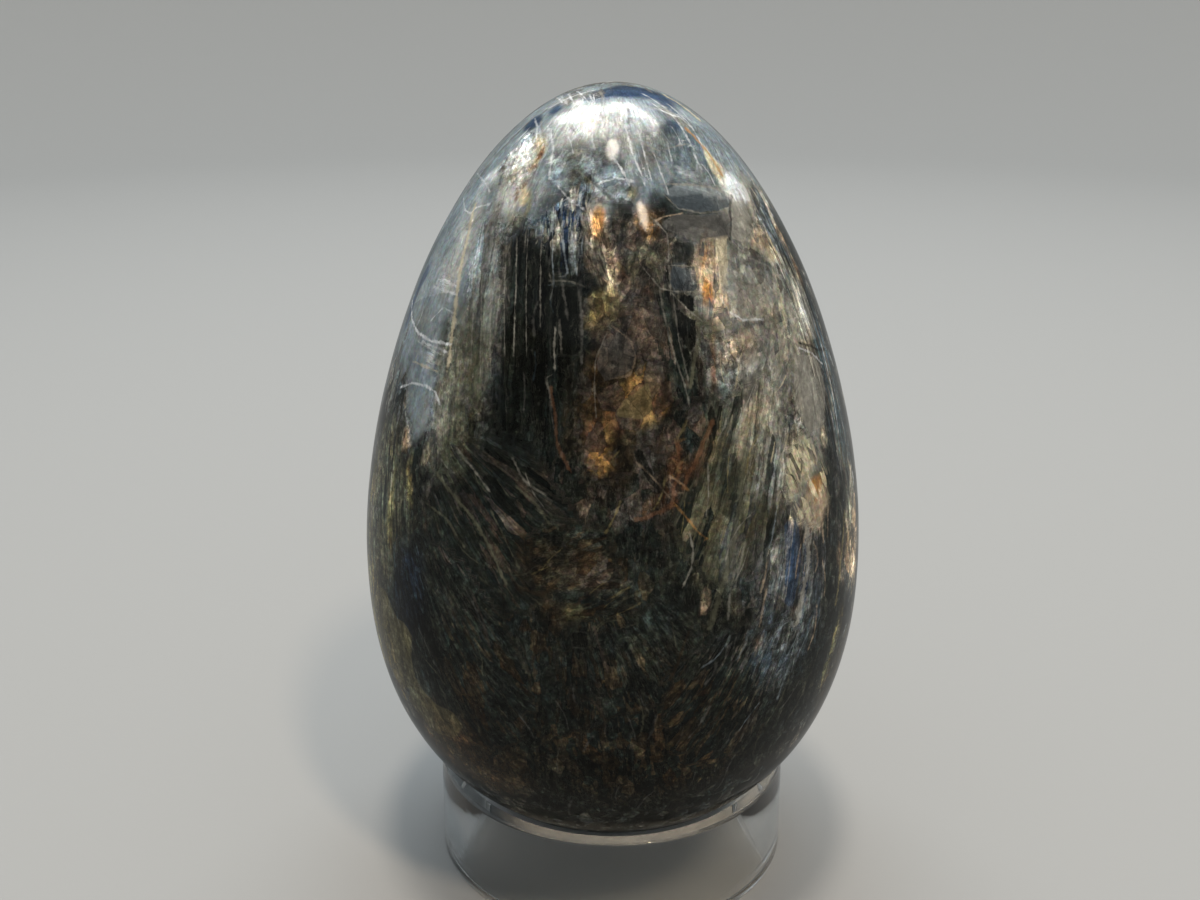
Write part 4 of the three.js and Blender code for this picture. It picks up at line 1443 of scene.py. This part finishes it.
class StoneShading:
    """The stone's colour, built up in steps from the egg's attributes and from noise for the grain."""

    def __init__(self, graph):
        self.graph = graph
        self.place_metres = graph.add("ShaderNodeTexCoord").outputs["Object"]
        self.position = graph.scale(self.place_metres, 1.0 / MM)
        traits = graph.attribute("blade_traits")
        self.contrast, self.hairlines, self.streaks = graph.split(traits["Color"])
        self.grains = traits["Alpha"]

        # Ragged blades, needles within them, and crumbs where the stone is granular
        waver = graph.vector("SUBTRACT", graph.noise(self.position, *WAVER)["Color"], (0.5, 0.5, 0.5))
        straight = graph.attribute("blade_place")["Vector"]
        self.place = graph.vector("ADD", straight, graph.vector("MULTIPLY", waver, BLADE_WAVER))
        crumb_place = graph.scale(self.position, CRUMBS)
        crumb_place = graph.vector("ADD", crumb_place, graph.scale(waver, CRUMB_WAVER))
        self.blades = self.cells(self.place, 0.05)
        self.needles = self.cells(graph.vector("MULTIPLY", self.place, NEEDLES), 0.1)
        self.crumbs = self.cells(crumb_place, 0.12)
        self.fine = graph.noise(graph.vector("MULTIPLY", self.place, FINE_STREAKS), *FINE)[0]
        self.grain = graph.noise(self.position, *GRAIN)["Fac"]
        self.cloud = graph.noise(self.position, *CLOUD)
        self.breaks = self.mask("breaks", graph.noise(self.position, *BREAKS)[0])
        self.swing = self.tone_swing()

    def mask(self, name, value):
        """One of the masks, read at a value."""
        return self.graph.ramp(value, *MASKS[name])

    def centred(self, value, amount):
        """A value's distance from a half, times the amount."""
        return self.graph.math("MULTIPLY", self.graph.math("SUBTRACT", value, 0.5), amount)

    def cells(self, vector, edge_width):
        """Blade cells at a place."""
        return self.graph.group("crystal blades", blades_group, {"Place": vector, "Edge Width": edge_width})

    def fibres(self, shift, stretch, width, spread):
        """One set of fibres along or across the blades."""
        place = self.graph.vector("ADD", self.place, shift)
        inputs = {"Place": place, "Stretch": stretch, "Width": width, "Spread": spread}
        return self.graph.group("crystal fibres", fibres_group, inputs)["Line"]

    def lit(self, colour, light):
        """A colour made paler by one of the lights."""
        factor, added = light
        return self.graph.vector("ADD", self.graph.scale(colour, factor), added)

    def tone_swing(self):
        """Sum of the swings of tone from blade to blade, needle to needle, crumb to crumb and so on."""
        graph = self.graph
        swings = (
            self.centred(self.blades["Tone"], graph.math("MULTIPLY", self.contrast, BLADE_SWING)),
            self.centred(self.needles["Tone"], graph.math("MULTIPLY", self.contrast, NEEDLE_SWING)),
            self.centred(self.crumbs["Tone"], graph.math("MULTIPLY", self.grains, CRUMB_SWING)),
            self.centred(self.fine, graph.math("MULTIPLY", self.streaks, STREAK_SWING)),
            self.centred(self.grain, graph.math("MULTIPLY", self.grains, GRAIN_SWING)),
            self.centred(graph.split(self.cloud["Color"])[1], self.mask("cloud swing", self.contrast)),
        )
        return graph.fold("ADD", *swings)

    def tone(self, share):
        """e to the power of a share of the swing."""
        return self.graph.math("EXPONENT", self.graph.math("MULTIPLY", self.swing, share))

    def minerals(self):
        """Each blade's and needle's pick of the two mineral colours, warmer or cooler from place to
        place, with a fine speckle and the swing of tone."""
        graph = self.graph
        second = graph.attribute("second_colour")
        colour = graph.attribute("mineral_colour")["Color"]
        pick = graph.math("SUBTRACT", second["Alpha"], self.blades["Pick"])
        colour = graph.mix("RGBA", self.mask("second blade", pick), colour, second["Color"])
        pick = graph.math("MULTIPLY_ADD", self.needles["Pick"], NEEDLE_PICK, second["Alpha"])
        colour = graph.mix("RGBA", self.mask("second needle", pick), colour, second["Color"])
        blade_warmth = self.centred(self.blades["Warmth"], BLADE_WARMTH)
        warmth = graph.math("ADD", blade_warmth, self.centred(self.cloud["Fac"], CLOUD_WARMTH))
        warmth = graph.math("MULTIPLY", warmth, self.mask("warmth", self.contrast))
        warmth = graph.math("ADD", warmth, 0.5, clamp=True)
        colour = graph.vector("MULTIPLY", colour, graph.mix("RGBA", warmth, COOL_TINT, WARM_TINT))
        speckle = graph.scale(graph.noise(self.position, *SPECKLE)["Color"], SPECKLE_SHARE)
        colour = graph.vector("MULTIPLY", colour, graph.vector("ADD", speckle, PLAIN_SHARE))
        return graph.scale(colour, graph.math("EXPONENT", self.swing))

    def with_facets(self, colour):
        """Facets with crisp borders that catch the light."""
        graph = self.graph
        facet = graph.attribute("facet_colour")
        depth = graph.attribute("facet_depth")["Fac"]
        depth = graph.math("ADD", depth, self.centred(self.grain, FACET_DRIFT))
        inside = graph.math("MULTIPLY", self.mask("facet", depth), facet["Alpha"])
        colour = graph.mix("VECTOR", inside, colour, graph.scale(facet["Color"], self.tone(FACET_SWING)))
        border = self.mask("facet border", graph.math("ABSOLUTE", depth))
        border = graph.fold("MULTIPLY", border, self.breaks, facet["Alpha"])
        return graph.mix("VECTOR", border, colour, self.lit(colour, BORDER_LIGHT))

    def with_gaps(self, colour):
        """Dark gaps between blades and crumbs, then pale hairlines along and across the blades."""
        graph = self.graph
        crumb_gaps = graph.fold("MULTIPLY", self.grains, CRUMB_GAPS, self.crumbs["Edge"])
        gaps = graph.fold("MAXIMUM", self.fibres(*DARK_FIBRES), self.blades["Edge"], crumb_gaps)
        gaps = graph.math("MULTIPLY", gaps, self.mask("gap", self.contrast))
        colour = graph.mix("VECTOR", gaps, colour, graph.scale(colour, GAP_SHADE))
        hair = graph.fold("MAXIMUM", *[self.fibres(*fibres) for fibres in PALE_FIBRES])
        hair = graph.fold("MULTIPLY", hair, self.hairlines, HAIR_STRENGTH)
        return graph.mix("VECTOR", hair, colour, self.lit(colour, HAIR_LIGHT))

    def with_seams(self, colour):
        """Drawn seams, the thin ones broken up along their length."""
        graph = self.graph
        drift = self.centred(graph.noise(self.position, *DRIFT)[0], SEAM_DRIFT)
        swell = self.mask("seam swell", self.grain)
        tone = self.tone(SEAM_SWING)
        for layer in range(SEAM_LAYERS):
            seam = graph.attribute(f"seam_colour_{layer}")
            side, gap, width = graph.split(graph.attribute(f"seam_place_{layer}")["Vector"])
            off = graph.math("ABSOLUTE", graph.math("ADD", side, drift))
            reach = graph.math("DIVIDE", off, graph.math("MULTIPLY", width, swell))
            whole = graph.math("MAXIMUM", self.mask("whole seam", width), self.breaks)
            body = graph.math("MULTIPLY", self.mask("seam body", reach), whole)
            near = self.mask("seam end", graph.math("SUBTRACT", gap, width))
            mask = graph.fold("MULTIPLY", body, near, seam["Alpha"])
            colour = graph.mix("VECTOR", mask, colour, graph.scale(seam["Color"], tone))
        return colour

    def with_glints(self, colour):
        """Dark cracks between the clusters, and glints of mica."""
        graph = self.graph
        crack = self.mask("crack", graph.attribute("cluster_border")["Fac"])
        crack = graph.math("MULTIPLY", crack, self.breaks)
        colour = graph.mix("VECTOR", crack, colour, graph.scale(colour, GAP_SHADE))
        flakes = {"Vector": graph.scale(self.position, GLINTS), "Share": GLINT_SHARE}
        glint = graph.group("mica glints", glints_group, flakes)["Glint"]
        glint = graph.math("MULTIPLY", glint, self.mask("glint", self.cloud["Fac"]))
        return graph.mix("VECTOR", glint, colour, self.lit(colour, GLINT_LIGHT))


def stone_material(polish):
    """Polished stone: the colour that its shading builds up, over the relief of the blades, under a
    clear polished skin with fine scuffs."""
    material, graph, output = new_material("polished kyanite stone")
    stone = StoneShading(graph)
    colour = stone.minerals()
    for step in (stone.with_facets, stone.with_gaps, stone.with_seams, stone.with_glints):
        colour = step(colour)
    scratches = graph.group("handling scratches", handling_scratches_group, {"Vector": stone.place_metres})
    relief = graph.math("ADD", stone.blades["Tone"], graph.math("MULTIPLY", stone.fine, 0.8))
    skin = graph.bump(0.1, 0.00003, stone.grain)
    scuffed = graph.bump(0.1, 0.00002, scratches["Height"], skin)
    shader = graph.add(
        "ShaderNodeBsdfPrincipled",
        {
            "Base Color": colour,
            "Roughness": stone.mask("roughness", stone.fine),
            "Normal": graph.bump(0.3, 0.00005, relief, scuffed),
            "Specular IOR Level": 0.0,
            "Coat Weight": 0.5,
            "Coat Roughness": polish,
            "Coat IOR": 1.3,
            "Coat Normal": skin,
        },
    )
    graph.feed(output.inputs["Surface"], shader.outputs[0])
    return material


def acrylic_material(tint):
    """Clear acrylic with faint scuffs. Lamps shine through it without casting its full shadow."""
    material, graph, output = new_material("clear acrylic")
    position = graph.add("ShaderNodeTexCoord").outputs["Object"]
    scratches = graph.group("handling scratches", handling_scratches_group, {"Vector": position})
    shader = graph.add(
        "ShaderNodeBsdfPrincipled",
        {
            "Base Color": (*tint, 1.0),
            "Roughness": 0.02,
            "IOR": 1.49,
            "Transmission Weight": 1.0,
            "Normal": graph.bump(0.12, 0.00001, scratches["Height"]),
        },
    )
    clear = graph.add("ShaderNodeBsdfTransparent", {"Color": (0.9, 0.9, 0.9, 1.0)})
    is_shadow = graph.add("ShaderNodeLightPath").outputs["Is Shadow Ray"]
    mix = graph.add("ShaderNodeMixShader", {0: is_shadow, 1: shader.outputs[0], 2: clear.outputs[0]})
    graph.feed(output.inputs["Surface"], mix.outputs[0])
    return material


def floor_material(colour):
    """Matt paper sweep with a barely visible tooth."""
    material, graph, output = new_material("studio sweep")
    position = graph.add("ShaderNodeTexCoord").outputs["Object"]
    tooth = graph.noise(position, 900.0, 3.0)[0]
    shader = graph.add(
        "ShaderNodeBsdfPrincipled",
        {
            "Base Color": (*colour, 1.0),
            "Roughness": 0.9,
            "Specular IOR Level": 0.1,
            "Normal": graph.bump(0.1, 0.0001, tooth),
        },
    )
    graph.feed(output.inputs["Surface"], shader.outputs[0])
    return material


# Operators


class StoneEggBuild(bpy.types.Operator):
    """Builds the polished stone egg with its painted minerals."""

    bl_idname = "stone_egg.build_egg"
    bl_label = "Polished Egg"

    def execute(self, context):
        settings = context.scene.stone_egg_shape
        colours = context.scene.stone_egg_palette
        palette = {name: np.array(getattr(colours, name)) for name in StonePalette.__annotations__}
        form = EggForm(settings.fullest_below_middle)
        points = egg_surface(form, settings.rings, settings.steps, settings.waviness / MM)
        egg = build_mesh("polished_egg", points * MM, egg_faces(settings.rings, settings.steps))

        painter = StonePainter(form, points, palette)
        fields = {"mineral_colour": np.insert(painter.mineral_colours(), 3, 1.0, axis=1)}
        fields["second_colour"] = np.column_stack(painter.second_colours())
        fields["blade_place"], fields["blade_traits"], fields["cluster_border"] = painter.blade_fields()
        for number, (place, colour) in enumerate(painter.seams()):
            fields[f"seam_place_{number}"] = place
            fields[f"seam_colour_{number}"] = colour
        fields["facet_depth"], fields["facet_colour"] = painter.facets()
        for name, values in fields.items():
            add_attribute(egg.data, name, values)

        egg.data.materials.append(stone_material(settings.polish))
        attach(egg, "egg")
        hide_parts("stone_egg")
        return {"FINISHED"}


class ClearRingBuild(bpy.types.Operator):
    """Builds the clear ring stand with its softened edges and its 45 degree seat."""

    bl_idname = "stone_egg.build_ring"
    bl_label = "Clear Ring"

    def execute(self, context):
        settings = context.scene.stone_egg_ring
        foot = RING_HIGH[0]
        top = RING_HIGH[2]
        rim = foot - settings.base_spread
        bore = foot - settings.base_wall
        seat = rim - settings.lip
        corners = (
            (foot, 0.0, settings.edge_round),
            (rim, top, settings.edge_round),
            (seat, top, settings.seat_round),
            (bore, top - (seat - bore), settings.seat_round),
            (bore, 0.0, settings.edge_round),
        )
        profile = rounded_profile(corners, arc_steps=5)
        vertices = turned(*profile.T, even_turns(settings.steps))
        ring = build_mesh("clear_ring", vertices, (grid_faces(len(profile), settings.steps, True),))
        ring.data.materials.append(acrylic_material(settings.tint))
        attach(ring, "stand")
        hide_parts("display_ring")
        return {"FINISHED"}


class StudioStageBuild(bpy.types.Operator):
    """Builds the pale sweep, the soft lamps, the sky and the camera."""

    bl_idname = "stone_egg.build_stage"
    bl_label = "Studio Stage"

    # Lamps by elevation above the egg's middle and turn from the front, in degrees, their distance and
    # size in metres, their power in watts and their colour.
    LAMPS = (
        ("back softbox", 117.0, 0.0, 0.55, (0.52, 0.2), 1.6, (0.88, 0.95, 1.0)),
        ("overhead lamp", 84.4, -8.0, 0.7, (0.085, 0.13), 1.8, (1.0, 0.88, 0.76)),
        ("front lamp", 57.1, 31.0, 0.7, (0.06, 0.11), 1.4, (1.0, 0.8, 0.6)),
    )
    SKY_COLOUR = (0.88, 0.95, 1.0, 1.0)

    # The sweep in metres: radius of its middle fan and of its flat floor, radius of its bend and height
    # of its wall, with its mesh rings and its steps round.
    FAN = 0.02
    FLAT = 0.42
    BEND = 0.25
    WALL = 0.15
    FLAT_RINGS = 12
    BEND_RINGS = 25
    STEPS_ROUND = 128

    # Width of the camera's sensor in millimetres, and the nearest thing that it sees, in metres
    SENSOR_WIDTH = 36.0
    NEAREST = 0.005

    def sweep(self, colour):
        """A round floor whose rim curves up into a wall: a flat disc, a quarter circle and a straight
        wall, carried once round the upright axis."""
        angle = np.linspace(0.0, math.pi / 2.0, self.BEND_RINGS)
        rim = self.FLAT + self.BEND
        flat = np.linspace(self.FAN, self.FLAT, self.FLAT_RINGS)
        across = np.concatenate((flat, self.FLAT + self.BEND * np.sin(angle), (rim,)))
        rise = self.BEND - self.BEND * np.cos(angle)
        up = np.concatenate((np.zeros(self.FLAT_RINGS), rise, (self.BEND + self.WALL,)))
        rows = turned(across, up, even_turns(self.STEPS_ROUND))
        vertices = np.concatenate((rows, ((0.0, 0.0, 0.0),)))
        faces = grid_faces(len(up), self.STEPS_ROUND, False)[:, ::-1]
        floor = build_mesh("studio_sweep", vertices, (faces, fan_faces(0, self.STEPS_ROUND, len(rows))))
        floor.data.materials.append(floor_material(colour))

    def lamp(self, name, elevation, turn, distance, size, power, colour):
        """An oval soft lamp that faces the egg's middle."""
        middle = Vector((0.0, 0.0, (EGG_LOW[2] + EGG_HIGH[2]) / 2.0))
        rise = math.radians(elevation)
        side = math.radians(turn)
        level = math.cos(rise)
        away = Vector((level * math.sin(side), -level * math.cos(side), math.sin(rise)))
        light = bpy.data.lights.new(name, "AREA")
        light.shape = "ELLIPSE"
        light.size, light.size_y = size
        light.energy = power
        light.color = colour
        lamp = bpy.data.objects.new(name, light)
        lamp.location = middle + away * distance
        lamp.rotation_euler = away.to_track_quat("Z", "Y").to_euler()
        bpy.context.scene.collection.objects.link(lamp)

    def camera(self, settings):
        """The camera at the photograph's place, with no roll."""
        camera = bpy.data.objects.new("photograph view", bpy.data.cameras.new("photograph view"))
        camera.data.lens = settings.camera_lens
        camera.data.sensor_width = self.SENSOR_WIDTH
        camera.data.clip_start = self.NEAREST
        camera.location = settings.camera_place
        camera.rotation_euler = (math.pi / 2.0 - settings.camera_dip, 0.0, -settings.camera_turn)
        bpy.context.scene.collection.objects.link(camera)
        bpy.context.scene.camera = camera

    def execute(self, context):
        settings = context.scene.stone_egg_stage
        self.sweep(settings.floor_colour)
        for lamp in self.LAMPS:
            self.lamp(*lamp)
        world = bpy.data.worlds.new("even fill")
        world.use_nodes = True
        background = world.node_tree.nodes["Background"]
        background.inputs["Color"].default_value = self.SKY_COLOUR
        background.inputs["Strength"].default_value = settings.sky_strength
        context.scene.world = world
        context.scene.view_settings.view_transform = "Standard"
        self.camera(settings)
        return {"FINISHED"}


class StoneEggPanel(bpy.types.Panel):
    """Sidebar panel with every step of the build and its settings."""

    bl_idname = "VIEW3D_PT_stone_egg"
    bl_label = "Stone Egg"
    bl_space_type = "VIEW_3D"
    bl_region_type = "UI"
    bl_category = "Stone Egg"

    def draw(self, context):
        for operator, *settings_names in STEPS:
            box = self.layout.box()
            box.operator(operator.bl_idname)
            for settings_name in settings_names:
                settings = getattr(context.scene, settings_name)
                for name in type(settings).__annotations__:
                    box.prop(settings, name)


SETTINGS = {
    "stone_egg_palette": StonePalette,
    "stone_egg_shape": EggSettings,
    "stone_egg_ring": RingSettings,
    "stone_egg_stage": StageSettings,
}
STEPS = (
    (StudioStageBuild, "stone_egg_stage"),
    (ClearRingBuild, "stone_egg_ring"),
    (StoneEggBuild, "stone_egg_shape", "stone_egg_palette"),
)
CLASSES = (*SETTINGS.values(), *(operator for operator, *_ in STEPS), StoneEggPanel)


def register():
    for item in CLASSES:
        bpy.utils.register_class(item)
    for name, group in SETTINGS.items():
        setattr(bpy.types.Scene, name, bpy.props.PointerProperty(type=group))


def unregister():
    for name in SETTINGS:
        delattr(bpy.types.Scene, name)
    for item in reversed(CLASSES):
        bpy.utils.unregister_class(item)


def main():
    register()
    bpy.ops.stone_egg.build_stage()
    bpy.ops.stone_egg.build_ring()
    bpy.ops.stone_egg.build_egg()


if __name__ == "__main__":
    main()
